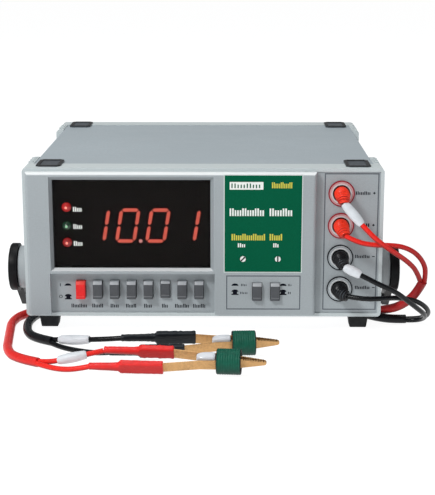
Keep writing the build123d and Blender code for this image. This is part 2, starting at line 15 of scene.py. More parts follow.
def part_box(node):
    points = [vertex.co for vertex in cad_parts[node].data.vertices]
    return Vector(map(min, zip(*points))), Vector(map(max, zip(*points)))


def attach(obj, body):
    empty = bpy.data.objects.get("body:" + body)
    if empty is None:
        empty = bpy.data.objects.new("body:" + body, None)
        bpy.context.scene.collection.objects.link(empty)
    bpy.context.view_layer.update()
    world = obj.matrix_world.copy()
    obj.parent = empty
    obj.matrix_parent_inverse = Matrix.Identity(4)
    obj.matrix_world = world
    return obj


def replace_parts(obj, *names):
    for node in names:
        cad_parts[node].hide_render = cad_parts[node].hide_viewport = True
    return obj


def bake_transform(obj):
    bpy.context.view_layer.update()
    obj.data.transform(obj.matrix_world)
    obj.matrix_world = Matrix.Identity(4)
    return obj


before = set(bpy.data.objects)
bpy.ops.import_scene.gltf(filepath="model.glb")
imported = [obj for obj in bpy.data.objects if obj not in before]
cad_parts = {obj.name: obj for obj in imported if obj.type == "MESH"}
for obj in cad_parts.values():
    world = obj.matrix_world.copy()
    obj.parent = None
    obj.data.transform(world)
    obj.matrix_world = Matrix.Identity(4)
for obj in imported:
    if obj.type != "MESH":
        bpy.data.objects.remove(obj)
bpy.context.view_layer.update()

MM = 0.001
INWARD = Vector((0, 1, 0))  # from the front to the rear
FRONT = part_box("front_frame")[0].y  # metres


def at(x, d, z):
    """A place in the frame, in metres."""
    return Vector((x * MM, FRONT + d * MM, z * MM))


def middle(node):
    """The middle of a CAD node as (x, d, z)."""
    low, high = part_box(node)
    centre = (low + high) / 2
    return centre.x / MM, (centre.y - FRONT) / MM, centre.z / MM


def extent(node):
    """A CAD node's box as (x0, x1, d0, d1, z0, z1)."""
    low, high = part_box(node)
    return low.x / MM, high.x / MM, (low.y - FRONT) / MM, (high.y - FRONT) / MM, low.z / MM, high.z / MM


def front_of(node):
    """The depth of a CAD node's front."""
    return extent(node)[2]


PANEL_FACE = 1.0  # depth of the terminal panel and of the range recess's floor
BLOCK_FACE = front_of("front_panel")
LABEL_FACE = front_of("label_plate")
PANE_FACE = front_of("display_window")
PRINT = 0.06  # thickness of printed ink
BUTTON_Z = middle("mode_button")[2]


# ---- materials
def linear(colour):
    """sRGB values from 0 to 255 as linear light."""
    return tuple((c / 255 / 12.92) if c <= 10 else ((c / 255 + 0.055) / 1.055) ** 2.4 for c in colour)


def scaled(colour, by):
    return tuple(min(1.0, c * by) for c in colour)


class Finish:
    """A Principled material that gets its detail from a few procedural layers."""

    def __init__(self, name, colour, roughness=0.5, specular=0.5, **values):
        self.material = bpy.data.materials.new(name)
        self.material.use_nodes = True
        self.tree = self.material.node_tree
        self.shader = self.tree.nodes["Principled BSDF"]
        self.colour = linear(colour)
        self.mixed = None
        self.normal = None
        self.shader.inputs["Base Color"].default_value = (*self.colour, 1)
        self.shader.inputs["Roughness"].default_value = roughness
        self.shader.inputs["Specular IOR Level"].default_value = specular
        for key, value in values.items():
            self.shader.inputs[key.replace("_", " ")].default_value = value
        self.place = self.node("ShaderNodeTexCoord").outputs["Object"]

    def join(self, source, socket):
        self.tree.links.new(source, socket)

    def node(self, kind, **inputs):
        made = self.tree.nodes.new(kind)
        for key, value in inputs.items():
            socket = made.inputs[key.replace("_", " ")]
            if hasattr(value, "is_linked"):
                self.join(value, socket)
            else:
                socket.default_value = value
        return made

    def noise(self, size, detail=3.0, stretch=(1, 1, 1)):
        """Noise from 0 to 1 with features about size millimetres across."""
        place = self.place
        if stretch != (1, 1, 1):
            place = self.node("ShaderNodeMapping", Vector=self.place, Scale=stretch).outputs["Vector"]
        made = self.node("ShaderNodeTexNoise", Vector=place, Scale=1 / (size * MM), Detail=detail)
        return made.outputs["Fac"]

    def ranged(self, value, low, high, to_low, to_high):
        return self.node("ShaderNodeMapRange", Value=value, From_Min=low, From_Max=high,
                         To_Min=to_low, To_Max=to_high).outputs["Result"]

    def mix(self, factor, colour):
        """Lay a linear colour over what is there, as far as the factor says."""
        made = self.tree.nodes.new("ShaderNodeMix")
        made.data_type = "RGBA"
        self.join(factor, made.inputs["Factor"])
        if self.mixed is None:
            made.inputs[6].default_value = (*self.colour, 1)
        else:
            self.join(self.mixed, made.inputs[6])
        made.inputs[7].default_value = (*colour, 1)
        self.mixed = made.outputs[2]
        self.join(self.mixed, self.shader.inputs["Base Color"])
        return self

    def mottle(self, size, by, detail=4.0):
        """Colour that drifts over patches of that size; by is how much lighter or darker they are."""
        return self.mix(self.ranged(self.noise(size, detail), 0.35, 0.65, 0, 1), scaled(self.colour, by))

    def facing(self, low, high, colour):
        """Another colour as the surface turns up (or down, for values below 0): a painted highlight on what
        faces up, painted shade on what faces down.
        """
        normal = self.node("ShaderNodeNewGeometry").outputs["Normal"]
        slope = self.node("ShaderNodeSeparateXYZ", Vector=normal).outputs["Z"]
        return self.mix(self.ranged(slope, low, high, 0, 1), linear(colour))

    def along(self, axis, low, high, colour):
        """Another colour past a place on an axis, with a soft change between two positions in millimetres."""
        place = self.node("ShaderNodeSeparateXYZ", Vector=self.place).outputs[axis]
        return self.mix(self.ranged(place, low * MM, high * MM, 0, 1), linear(colour))

    def sheen_drift(self, size, low, high):
        """Roughness that varies between two values."""
        drift = self.ranged(self.noise(size), 0.3, 0.7, low, high)
        self.join(drift, self.shader.inputs["Roughness"])
        return self

    def relief(self, size, depth, detail=2.0, stretch=(1, 1, 1)):
        """Fine bumps, size across and about depth deep."""
        height = self.noise(size, detail, stretch)
        bump = self.node("ShaderNodeBump", Strength=1.0, Distance=depth * MM, Height=height)
        if self.normal is not None:
            self.join(self.normal, bump.inputs["Normal"])
        self.normal = bump.outputs["Normal"]
        self.join(self.normal, self.shader.inputs["Normal"])
        return self

    def edges(self, width, by):
        """A painted highlight along the rounded edges that the bevel finds where by is above 1, painted shade
        where it is below 1.
        """
        bevel = self.node("ShaderNodeBevel", Radius=width * MM)
        bevel.samples = 6
        flat = self.node("ShaderNodeNewGeometry").outputs["Normal"]
        dot = self.tree.nodes.new("ShaderNodeVectorMath")
        dot.operation = "DOT_PRODUCT"
        self.join(bevel.outputs["Normal"], dot.inputs[0])
        self.join(flat, dot.inputs[1])
        return self.mix(self.ranged(dot.outputs["Value"], 0.99, 0.86, 0, 1), scaled(self.colour, by))


def moulded(name, colour, roughness, edge=1.25, top=None, underside_shade=None):
    """Textured moulded plastic whose rounded edges get a painted highlight as strong as edge. The top colour
    is a painted highlight on what faces up, and the colour for what faces down is painted shade there.
    """
    finish = Finish(name, colour, roughness).mottle(60, 0.93).mottle(0.8, 1.05)
    if top:
        finish.facing(0.25, 0.6, top)
    if underside_shade:
        finish.facing(-0.3, -0.85, underside_shade)
    finish.edges(1.0, edge).sheen_drift(9, roughness - 0.06, roughness + 0.06)
    return finish.relief(0.55, 0.012).material


def painted_sheet(name, colour):
    """Powder-coated sheet steel with a fine orange peel and a painted highlight on its edges."""
    finish = Finish(name, colour, 0.45).mottle(90, 1.08).mottle(1.5, 0.96)
    return finish.edges(0.8, 1.3).sheen_drift(30, 0.4, 0.52).relief(1.1, 0.012, 3).material


def glossy(name, colour, roughness=0.22, edge_highlight=1.6):
    """Smooth moulded plastic with handling marks and a painted highlight on its edges."""
    finish = Finish(name, colour, roughness, specular=0.32).mottle(14, 1.12)
    finish.edges(0.5, edge_highlight).sheen_drift(5, roughness - 0.05, roughness + 0.12)
    return finish.relief(2.2, 0.01).material


def button_plastic(name, colour, top):
    """Matt cap plastic with a painted highlight on its sloped top, kept off the lower ledge by height, and on
    its edges.
    """
    finish = Finish(name, colour, 0.42, specular=0.3).mottle(3, 1.12).edges(0.35, 1.4)
    finish.facing(0.35, 0.6, top).along("Z", BUTTON_Z - 3, BUTTON_Z - 5, colour)
    return finish.sheen_drift(2, 0.36, 0.5).relief(0.5, 0.012).material


def rubbery(name, colour):
    # Painted highlight on the rubber's edges.
    finish = Finish(name, colour, 0.6, specular=0.3).mottle(6, 1.35).edges(0.5, 1.9)
    return finish.sheen_drift(3, 0.55, 0.78).relief(0.35, 0.03).material


def insulation(name, colour, roughness=0.34, right_shade=None):
    """Flexible lead cover, uneven along its length, with painted shade where it faces down. The colour given
    for the right is painted shade where the case keeps the light off the lead.
    """
    finish = Finish(name, colour, roughness, specular=0.22).mottle(7, 0.86).mottle(1.2, 1.1)
    if right_shade:
        finish.along("X", 118, 150, right_shade)
    finish.facing(0.0, -0.8, tuple(0.62 * c for c in colour))
    finish.sheen_drift(4, roughness - 0.08, roughness + 0.12)
    return finish.relief(3.5, 0.09, 3).relief(0.4, 0.008).material


def shrink_sleeve(name, colour):
    """Heat-shrink sleeve with the wrinkles it keeps, painted shade where it faces down and a painted highlight
    on its edges.
    """
    finish = Finish(name, colour, 0.4, specular=0.28).mottle(5, 0.85).edges(0.5, 1.2)
    finish.facing(0.0, -0.8, tuple(0.6 * c for c in colour))
    return finish.sheen_drift(3, 0.28, 0.46).relief(3.0, 0.3, 4, (1, 1, 2)).relief(0.3, 0.008).material


def brushed_metal(name, colour, roughness=0.34, metallic=1.0, edge=1.3):
    """Rolled metal strip with lengthwise brushing and dull patches; its edges get a painted highlight where
    edge is above 1 and painted shade where it is below 1.
    """
    finish = Finish(name, colour, roughness, Metallic=metallic).mottle(7, 0.78).mottle(1.4, 1.12)
    finish.edges(0.4, edge).sheen_drift(3, roughness - 0.1, roughness + 0.16)
    return finish.relief(0.5, 0.01, 2, (0.08, 1, 1)).material


def ink(name, colour):
    """Screen-printed ink with slightly uneven cover."""
    finish = Finish(name, colour, 0.5, specular=0.05).mottle(1.0, 0.9).sheen_drift(2, 0.42, 0.6)
    return finish.relief(0.3, 0.004).material


def lit(name, colour, glow, strength):
    """A lamp, segment or painted glint that gives light of its own."""
    finish = Finish(name, colour, 0.3, Emission_Color=(*linear(glow), 1), Emission_Strength=strength)
    return finish.mottle(2.0, 0.9).relief(0.6, 0.01).material


def smoked_acrylic():
    """Tinted pane that lets light straight through, with a faint surface sheen."""
    finish = Finish("smoked_acrylic", (152, 147, 145), 0.0, Transmission_Weight=1.0, IOR=1.0,
                    Coat_Weight=0.3, Coat_IOR=1.3, Coat_Roughness=0.08)
    return finish.mottle(12, 0.9).material


# CASE gets a painted highlight on what faces up and painted shade on what faces down; PANEL a painted
# highlight on what faces up.
CASE = moulded("case_plastic", (190, 199, 201), 0.5, 1.04, (204, 213, 214), underside_shade=(104, 109, 114))
BOSS = moulded("boss_plastic", (158, 165, 168), 0.5, 1.2)
PANEL = moulded("panel_plastic", (158, 166, 170), 0.5, 1.25, (234, 238, 239))
COVER = painted_sheet("cover_paint", (172, 183, 189))
RUBBER = rubbery("black_rubber", (20, 22, 24))
# Painted highlight: the pads' recessed floor below 118.85 mm is grey, and above 119.15 mm the rim keeps the
# rubber's black.
PAD_RUBBER = Finish("pad_rubber", (74, 80, 86), 0.5).mottle(5, 1.3).along("Z", 118.85, 119.15, (20, 22, 25))
PAD_RUBBER = PAD_RUBBER.sheen_drift(3, 0.4, 0.6).relief(0.5, 0.02).material
# Painted highlight on the bail's edges.
BAIL = Finish("bail_black", (12, 13, 15), 0.45, specular=0.15).mottle(8, 1.3).edges(0.6, 2.2)
BAIL = BAIL.sheen_drift(5, 0.35, 0.5).relief(0.6, 0.012).material
BLACK = glossy("black_moulding", (17, 18, 20), 0.3)
# Painted highlight on the hub's edges.
HUB = Finish("hub_black", (12, 12, 15), 0.16, specular=0.45).mottle(10, 1.3).edges(0.5, 1.8)
HUB = HUB.sheen_drift(5, 0.12, 0.2).relief(3.0, 0.012).material
# The pale colours are painted highlights on the caps' sloped tops.
GREY_CAP = button_plastic("button_grey", (76, 79, 83), (172, 176, 180))
RED_CAP = button_plastic("button_red", (226, 34, 34), (240, 70, 62))
LABEL = ink("label_green", (0, 90, 62))
WHITE_INK = ink("white_ink", (240, 244, 240))
YELLOW_INK = ink("yellow_ink", (214, 206, 84))
DARK_INK = ink("dark_ink", (20, 22, 32))
# Painted shade along the engraved grooves.
GROOVE_SHADE = ink("painted_groove_shade", (104, 110, 116))
EDGE_INK = moulded("label_border", (196, 206, 204), 0.45)
RED_RING = ink("red_ring_ink", (158, 40, 52))
PINK_BAND = ink("pink_ink", (206, 158, 160))
BLACK_RING = ink("black_ring_ink", (24, 26, 32))
BEZEL = moulded("jack_bezel", (196, 200, 202), 0.35)
# Near black as painted shade in the jack bores and the trimmer slots.
SHADED_HOLE = glossy("painted_bore_shade", (16, 15, 17), 0.4)
RED_PLUG = insulation("plug_red", (246, 60, 36), 0.3)
# Rib trough colours: the darker red is painted shade in the red plugs' creases; the lighter grey is a painted
# highlight that shows the black plugs' ribs.
RED_GROOVE = insulation("plug_red_groove", (176, 28, 22), 0.45)
BLACK_GROOVE = insulation("plug_black_groove", (70, 76, 82), 0.35)
BLACK_PLUG = insulation("plug_black", (22, 23, 26), 0.28)
# The second colour is painted shade on the right, where the case keeps the light off the red leads.
RED_WIRE = insulation("wire_red", (236, 44, 36), 0.3, (176, 34, 36))
RED_SHEATH = insulation("sheath_red", (222, 46, 42), 0.36, (158, 34, 38))
BLACK_WIRE = insulation("wire_black", (15, 18, 21), 0.24)
BLACK_SHEATH = insulation("sheath_black", (22, 24, 27), 0.3)
RED_SLEEVE = shrink_sleeve("sleeve_red", (242, 44, 42))
BLACK_SLEEVE = shrink_sleeve("sleeve_black", (20, 29, 36))
TAG = Finish("tag_white", (220, 225, 230), 0.42, Coat_Weight=0.1).mottle(6, 0.92).relief(2.4, 0.08).material
PAD = Finish("pad_white", (220, 224, 230), 0.4, Coat_Weight=0.2).mottle(4, 0.93).relief(1.6, 0.05).material
BRASS = brushed_metal("brass_strip", (202, 158, 104), 0.42, 0.6, 0.5)
# Painted shade: the teeth are dark brown for the shadowed line along the jaws.
BRASS_DARK = brushed_metal("brass_teeth", (62, 46, 30), 0.5)
STEEL = brushed_metal("steel", (178, 182, 186), 0.3)
BAND = Finish("band_green", (5, 92, 72), 0.55, specular=0.25).mottle(3, 0.8)
# Painted shade: darker green where the band faces down.
BAND = BAND.facing(0.1, -0.9, (2, 44, 36)).sheen_drift(2, 0.42, 0.6)
BAND = BAND.relief(0.9, 0.05, 3, (1, 0.3, 0.3)).material
BOARD = Finish("circuit_board", (22, 84, 52), 0.4).mottle(5, 1.3).relief(0.8, 0.03).material
IRON = brushed_metal("transformer_iron", (92, 92, 96), 0.5)
DIGIT_FACE = Finish("digit_face", (44, 37, 35), 0.6, specular=0.1)
DIGIT_FACE = DIGIT_FACE.mottle(8, 1.5).relief(0.8, 0.01).material
LIT_SEGMENT = lit("lit_segment", (225, 96, 78), (246, 116, 98), 2.1)
LIT_POINT = lit("lit_point", (230, 170, 165), (250, 176, 172), 2.2)
# Glowing domes inside the lamp lenses: painted glints, not lamps.
LAMP_GLINT = lit("painted_lamp_glint", (255, 150, 130), (255, 110, 90), 0.55)
GO_GLINT = lit("painted_go_glint", (150, 200, 160), (120, 200, 140), 0.2)
GLOW = lit("segment_glow", (70, 8, 6), (150, 12, 8), 0.5)
DARK_SEGMENT = Finish("dark_segment", (40, 26, 26), 0.5, specular=0.2)
DARK_SEGMENT = DARK_SEGMENT.mottle(1.5, 1.25).relief(0.4, 0.01).material
SMOKED = smoked_acrylic()


def lens(name, colour, glow, strength):
    finish = Finish(name, colour, 0.12, Coat_Weight=0.6, Coat_Roughness=0.05,
                    Emission_Color=(*linear(glow), 1), Emission_Strength=strength)
    return finish.mottle(2.5, 1.2).relief(1.5, 0.01).material


HIGH_LENS = lens("high_lens", (168, 26, 26), (200, 24, 20), 0.08)
GO_LENS = lens("go_lens", (18, 52, 34), (20, 80, 40), 0.02)
LOW_LENS = lens("low_lens", (140, 26, 26), (190, 24, 20), 0.05)


# ---- mesh helpers
CORNERS = ((-1, -1), (-1, 1), (1, 1), (1, -1))


def link(obj):
    bpy.context.scene.collection.objects.link(obj)


def shade_smooth(mesh, angle):
    mesh.polygons.foreach_set("use_smooth", [True] * len(mesh.polygons))
    mesh.set_sharp_from_angle(angle=math.radians(angle))


def ring(centre, u, v, a, b=None, power=2.0, sides=24):
    """Points round a centre: an ellipse at power 2, and a rounded rectangle above it."""
    b = a if b is None else b
    points = []
    for i in range(sides):
        turn = 2 * math.pi * i / sides
        c, s = math.cos(turn), math.sin(turn)
        across = a * math.copysign(abs(c) ** (2 / power), c)
        up = b * math.copysign(abs(s) ** (2 / power), s)
        points.append(centre + u * across + v * up)
    return points


def loft(bm, rings, caps=True):
    """A skin through rings with equally many points."""
    loops = [[bm.verts.new(point) for point in points] for points in rings]
    count = len(loops[0])
    for low, high in zip(loops, loops[1:]):
        for i in range(count):
            j = (i + 1) % count
            bm.faces.new((low[i], low[j], high[j], high[i]))
    if caps:
        bm.faces.new(loops[0][::-1])
        bm.faces.new(loops[-1])
    else:
        for i in range(count):
            j = (i + 1) % count
            bm.faces.new((loops[-1][i], loops[-1][j], loops[0][j], loops[0][i]))


def lathe(bm, origin, axis, profile, sides=40, closed=False, unit=MM):
    """A turned shape from a profile of (distance along the axis, radius). A closed profile gives a ring."""
    axis = axis.normalized()
    u = axis.orthogonal().normalized()
    v = axis.cross(u)
    rings = [ring(origin + axis * (far * unit), u, v, radius * unit, sides=sides) for far, radius in profile]
    loft(bm, rings, caps=not closed)


def swept(bm, path, sizes, sides=20, power=2.0):
    """A skin along a path; sizes are radii, or (across, up) pairs, in the path's unit."""
    tangent = (path[1] - path[0]).normalized()
    u = tangent.cross(Vector((0, 0, 1)))
    u = (u if u.length > 0.1 else tangent.orthogonal()).normalized()
    rings = []
    for i, point in enumerate(path):
        ahead = path[min(i + 1, len(path) - 1)] - path[max(i - 1, 0)]
        tangent = ahead.normalized()
        u = (u - tangent * u.dot(tangent)).normalized()
        v = tangent.cross(u)
        size = sizes[i]
        a, b = size if isinstance(size, tuple) else (size, size)
        rings.append(ring(point, u, v, a, b, power, sides))
    loft(bm, rings)


def slab(bm, x0, x1, d0, d1, z0, z1):
    """A block between two X values, depths and heights."""
    low, high = at(x0, d0, z0), at(x1, d1, z1)
    size = high - low
    place = Matrix.Translation((low + high) / 2) @ Matrix.Diagonal((size.x, size.y, size.z, 1))
    bmesh.ops.create_cube(bm, size=1, matrix=place)


def plate(bm, outline, d0, d1):
    """A flat piece with an outline of (x, z) points, between two depths."""
    front = [bm.verts.new(at(x, d0, z)) for x, z in outline]
    back = [bm.verts.new(at(x, d1, z)) for x, z in outline]
    bm.faces.new(front)
    bm.faces.new(back[::-1])
    for i in range(len(outline)):
        j = (i + 1) % len(outline)
        bm.faces.new((front[j], front[i], back[i], back[j]))


def soften(piece, width, segments=2, angle=32):
    """Round a piece's sharp edges."""
    weld = piece.modifiers.new("weld", "WELD")
    weld.merge_threshold = 1e-6
    bevel = piece.modifiers.new("bevel", "BEVEL")
    bevel.width = width * MM
    bevel.segments = segments
    bevel.limit_method = "ANGLE"
    bevel.angle_limit = math.radians(angle)
    bevel.harden_normals = True


def place(name, bm, material, body="case", slot=None, round_edges=None, smooth=35):
    """Turn a bmesh into a named piece that rides on a body. body None leaves it free."""
    mesh = bpy.data.meshes.new(name)
    bmesh.ops.recalc_face_normals(bm, faces=bm.faces)
    bm.to_mesh(mesh)
    bm.free()
    mesh.materials.append(material)
    shade_smooth(mesh, smooth)
    piece = bpy.data.objects.new(name, mesh)
    link(piece)
    if round_edges:
        soften(piece, round_edges)
    if body:
        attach(piece, body)
    return piece


def dress(node, material, width=None, segments=2, angle=32):
    """Give a CAD node its finish, and round its edges where a width is given."""
    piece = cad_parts[node]
    for index in range(len(piece.data.materials)):
        piece.data.materials[index] = material
    if width:
        soften(piece, width, segments, angle)


# ---- camera, light and floor
CAMERA_LENS = 93.03
CAMERA_PLACE = (0.01827, -0.99387, 0.27242)  # metres
CAMERA_TILT = 13.489  # degrees down from level
CAMERA_YAW = 0.533
STUDIO_WHITE = (0.98, 0.99, 1.0, 1)
# The world is bright up to a little above the horizon, where a camera sees it, and dim overhead.
WORLD_FADE = {"From Min": 0.06, "From Max": 0.2, "To Min": 1.0, "To Max": 0.22}
# Each softbox has its place and size in metres and its power in watts.
SOFTBOXES = {"key": ((-0.8, -1.05, 1.2), 0.3, 15), "overhead": ((-0.1, 0.15, 1.6), 1.2, 9.5)}
LIT_MIDDLE = Vector((0, 0, 0.05))
FLOOR_REACH = 14.0  # metres


def make_camera():
    data = bpy.data.cameras.new("camera")
    data.lens = CAMERA_LENS
    camera = bpy.data.objects.new("camera", data)
    camera.location = CAMERA_PLACE
    camera.rotation_euler = (math.radians(90 - CAMERA_TILT), 0, math.radians(CAMERA_YAW))
    link(camera)
    bpy.context.scene.camera = camera


def softbox(name, place, size, power):
    """A square area light that faces the middle of the object."""
    data = bpy.data.lights.new(name, "AREA")
    data.size = size
    data.energy = power
    lamp = bpy.data.objects.new(name, data)
    lamp.location = place
    lamp.rotation_euler = (LIT_MIDDLE - Vector(place)).to_track_quat("-Z", "Y").to_euler()
    link(lamp)


def make_studio():
    scene = bpy.context.scene
    scene.view_settings.view_transform = "Standard"
    scene.world = bpy.data.worlds.new("studio")
    scene.world.use_nodes = True
    tree = scene.world.node_tree
    background = tree.nodes["Background"]
    background.inputs["Color"].default_value = STUDIO_WHITE
    direction = tree.nodes.new("ShaderNodeTexCoord").outputs["Generated"]
    split = tree.nodes.new("ShaderNodeSeparateXYZ")
    tree.links.new(direction, split.inputs["Vector"])
    fade = tree.nodes.new("ShaderNodeMapRange")
    tree.links.new(split.outputs["Z"], fade.inputs["Value"])
    for socket, value in WORLD_FADE.items():
        fade.inputs[socket].default_value = value
    tree.links.new(fade.outputs["Result"], background.inputs["Strength"])
    for name, values in SOFTBOXES.items():
        softbox(name, *values)
    floor_mesh = bpy.data.meshes.new("floor")
    corners = [(x * FLOOR_REACH, y * FLOOR_REACH, 0) for y, x in CORNERS]
    floor_mesh.from_pydata(corners, [], [(0, 1, 2, 3)])
    finish = Finish("floor_white", (130, 131, 132), 0.9, specular=0.0, Emission_Color=(1, 1, 1, 1),
                    Emission_Strength=0.94).mottle(300, 0.98)
    floor_mesh.materials.append(finish.material)
    floor = bpy.data.objects.new("floor", floor_mesh)
    link(floor)


# ---- leads
WIRE_D = 3.6
SHEATH_D = 6.4
TAG_R = 3.1

# Each route is a list of (x, d, z), or of (x, d) on the floor. The jack wires start at a tag or a boot and end
# in their lead's sheath.
# The sheath runs under the case between the front feet and the folded bail, and the clip wires leave it.
ROUTES = {
    "red_force_wire": [(109.3, -20.5, 83.1), (116, -23, 76), (124.3, -22.5, 69), (133.3, -17.5, 62.2),
        (142.6, -10, 54.8), (150.6, -3.5, 46.2), (154.3, 3.4, 36.8)],
    "red_sense_wire": [(98.3, -17.5, 74.5), (106.3, -19.8, 70.6), (116.6, -18.6, 68.3),
        (127.8, -15.3, 67.4), (139.6, -11, 65.4), (149.5, -6, 59.5), (156.2, -1.8, 50.5),
        (157.8, 1.4, 41.8), (157.2, 4.2, 34.4)],
    "red_sheath": [(156.2, 3, 36.5), (153, 6.5, 28), (147.5, 11, 20), (141, 18, 13.5), (134.5, 27, 9),
        (127, 36, 5.4), (117.5, 44), (103, 49.1), (82, 47.1), (50, 49), (14, 47.1), (-26, 49),
        (-60, 47.4), (-82, 48.8), (-101, 48), (-119.8, 45.2), (-135.5, 29.3), (-139.3, 10.5), (-137, -10),
        (-134.5, -32), (-132, -53), (-123.5, -71), (-107, -80)],
    "red_rear_clip_wire": [(-108.3, -78.2, 3.4), (-99.5, -82.6, 4.2), (-90, -83.8, 6.6),
        (-79.5, -83.9, 8.8), (-70, -82.6, 10.8), (-63.6, -81.7, 11.9)],
    "red_front_clip_wire": [(-107.8, -81.4, 3.0), (-99, -86.5, 2.0), (-89, -90.8, 2.0),
        (-79.5, -93.4, 3.4), (-71.4, -94.3, 5.4)],
    "black_sense_wire": [(109.5, -20.8, 47.3), (116.4, -23.3, 44.2), (123.3, -24.4, 41),
        (130, -22.6, 37.6), (136.8, -19.4, 33.2), (143, -15, 27.4), (149.8, -9.5, 21.3),
        (156, -2.5, 15.2), (159.6, 6.5, 9.6), (158.4, 15.6, 4.8), (152.2, 20.2, 2.6), (146, 20.2, 2.8)],
    "black_force_wire": [(101.2, -16.5, 30.8), (108.6, -19.8, 30.3), (117.2, -21, 30.2), (126, -18.6, 30),
        (134.8, -13.2, 29), (143.5, -6.5, 26.6), (153, -1.5, 22.8), (160.6, 5.5, 16), (163.2, 15.3, 8.5),
        (159, 23.4, 3.4), (151.2, 25, 2.4), (145, 23.2, 2.8)],
    "black_sheath": [(147.5, 21.8), (138.5, 21.4), (129.2, 25), (119.5, 33.5), (106, 41), (86, 39.6),
        (52, 41.4), (14, 39.6), (-24, 41.3), (-56, 39.8), (-76, 41), (-92, 39.4), (-111, 40.5),
        (-122.5, 34), (-126.5, 19), (-127, 4), (-124, -14), (-116.5, -27), (-104, -34.5)],
    "black_rear_clip_wire": [(-105.2, -32, 3.5), (-97, -38.9, 6), (-87, -43.4, 7), (-76, -46.6, 8.4),
        (-64.5, -50.6, 10), (-53.7, -52.8, 11.4)],
    "black_front_clip_wire": [(-105, -35.6, 2.6), (-98, -42), (-88.6, -48.6), (-78, -54.5, 2.1),
        (-68.5, -62.8, 4.0), (-60.7, -67.5, 6.1)],
}
SHEATH_MATERIALS = {"red_sheath": RED_SHEATH, "black_sheath": BLACK_SHEATH}


def lead_material(name):
    return SHEATH_MATERIALS.get(name, RED_WIRE if name.startswith("red") else BLACK_WIRE)


def diameter_of(name):
    return SHEATH_D if name.endswith("sheath") else WIRE_D


def route_of(name):
    """A lead's route in metres."""
    floor_z = diameter_of(name) / 2
    return [at(*spot) if len(spot) == 3 else at(*spot, floor_z) for spot in ROUTES[name]]


def lead_curve(name, thick=True):
    """A lead's smooth NURBS line, with or without its thickness."""
    route = route_of(name)
    data = bpy.data.curves.new(name, "CURVE")
    data.dimensions = "3D"
    data.resolution_u = 10
    if thick:
        data.bevel_depth = diameter_of(name) / 2 * MM
        data.bevel_resolution = 6
        data.use_fill_caps = True
    spline = data.splines.new("NURBS")
    spline.points.add(len(route) - 1)
    for point, spot in zip(spline.points, route):
        point.co = (*spot, 1)
    spline.order_u = 3
    spline.use_endpoint_u = True
    return bpy.data.objects.new(name, data)


def lead_line(name):
    """Points along a lead's NURBS line, in metres."""
    bare = lead_curve(name, thick=False)
    mesh = bpy.data.meshes.new_from_object(bare)
    points = [vertex.co.copy() for vertex in mesh.vertices]
    bpy.data.meshes.remove(mesh)
    bpy.data.curves.remove(bare.data)
    return points


def stretch_of(line, start, length):
    """The part of a line that runs a length (metres) from a point near its start distance."""
    gone, part = 0.0, []
    for here, there in zip(line, line[1:]):
        step = (there - here).length
        if gone + step > start and gone < start + length:
            part.append(here)
        gone += step
    return part


def stand_in(lead, name):
    """Hide the CAD node that a lead stands for."""
    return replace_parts(lead, name)


def make_lead(name):
    """One lead on the case, as a curve."""
    lead = lead_curve(name)
    lead.data.materials.append(lead_material(name))
    link(lead)
    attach(lead, "case")
    return stand_in(lead, name)


def make_bending_lead(name):
    """A clip wire as a mesh tube, with its placement baked into the mesh."""
    curve = lead_curve(name)
    mesh = bpy.data.meshes.new_from_object(curve)
    bpy.data.curves.remove(curve.data)
    mesh.name = name
    mesh.materials.clear()
    mesh.materials.append(lead_material(name))
    shade_smooth(mesh, 50)
    lead = bpy.data.objects.new(name, mesh)
    link(lead)
    bend_with_leg(lead)
    return stand_in(lead, name)


def bend_with_leg(piece):
    """Bake a piece's placement into its mesh."""
    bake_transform(piece)


make_camera()
make_studio()


# ---- plugs, tags and jacks
JACK_X = (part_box("jacks")[0].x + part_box("jacks")[1].x) / 2 / MM
JACK_LOW_Z = 31.6
JACK_PITCH = 23.0
ELBOW_D = -12.5
ROWS = ("black_force", "black_sense", "red_sense", "red_force")
BOOT_ENDS = {"red_force": (97.2, -15.8, 96.8), "red_sense": (98.3, -17.5, 74.5),
             "black_sense": (98.3, -16.5, 52.0), "black_force": (101.2, -16.5, 30.8)}
TAG_ENDS = {"red_force": (109.3, -20.5, 83.1), "black_sense": (109.5, -20.8, 47.3)}


def jack_z(row):
    return JACK_LOW_Z + JACK_PITCH * ROWS.index(row)


def quadratic(a, b, c, count):
    """Points on the curve that leaves a towards b and arrives at c."""
    return [a.lerp(b, t / count).lerp(b.lerp(c, t / count), t / count) for t in range(count + 1)]


def plug_piece(row):
    """Right-angled plug: a round body out of the jack that bends, in ribs, towards its wire."""
    z = jack_z(row)
    path = quadratic(at(JACK_X, -6.5, z), at(JACK_X, ELBOW_D - 1.5, z), at(*BOOT_ENDS[row]), 60)
    bm = bmesh.new()
    profile = [(0.0, 4.6), (0.2, 5.3), (4.6, 5.3), (5.0, 4.9), (6.2, 4.7)]
    lathe(bm, at(JACK_X, -0.6, z), -INWARD, profile)
    collar_faces = len(bm.faces)
    steps, sides, ribs = len(path) - 1, 32, 7
    waves = [math.sin(i / steps * 2 * math.pi * ribs) if i < 0.94 * steps else 0.0 for i in range(steps + 1)]
    sizes = [(4.75 - 1.5 * (i / steps) ** 1.6 + 0.5 * waves[i]) * MM for i in range(steps + 1)]
    swept(bm, path, sizes, sides)
    red = row.startswith("red")
    piece = place(f"{row}_plug", bm, RED_PLUG if red else BLACK_PLUG, slot="plug_plastic", smooth=60)
    piece.data.materials.append(RED_GROOVE if red else BLACK_GROOVE)
    for i in range(steps):
        if waves[i] + waves[i + 1] < -1.1:
            for j in range(sides):
                piece.data.polygons[collar_faces + i * sides + j].material_index = 1
    return piece


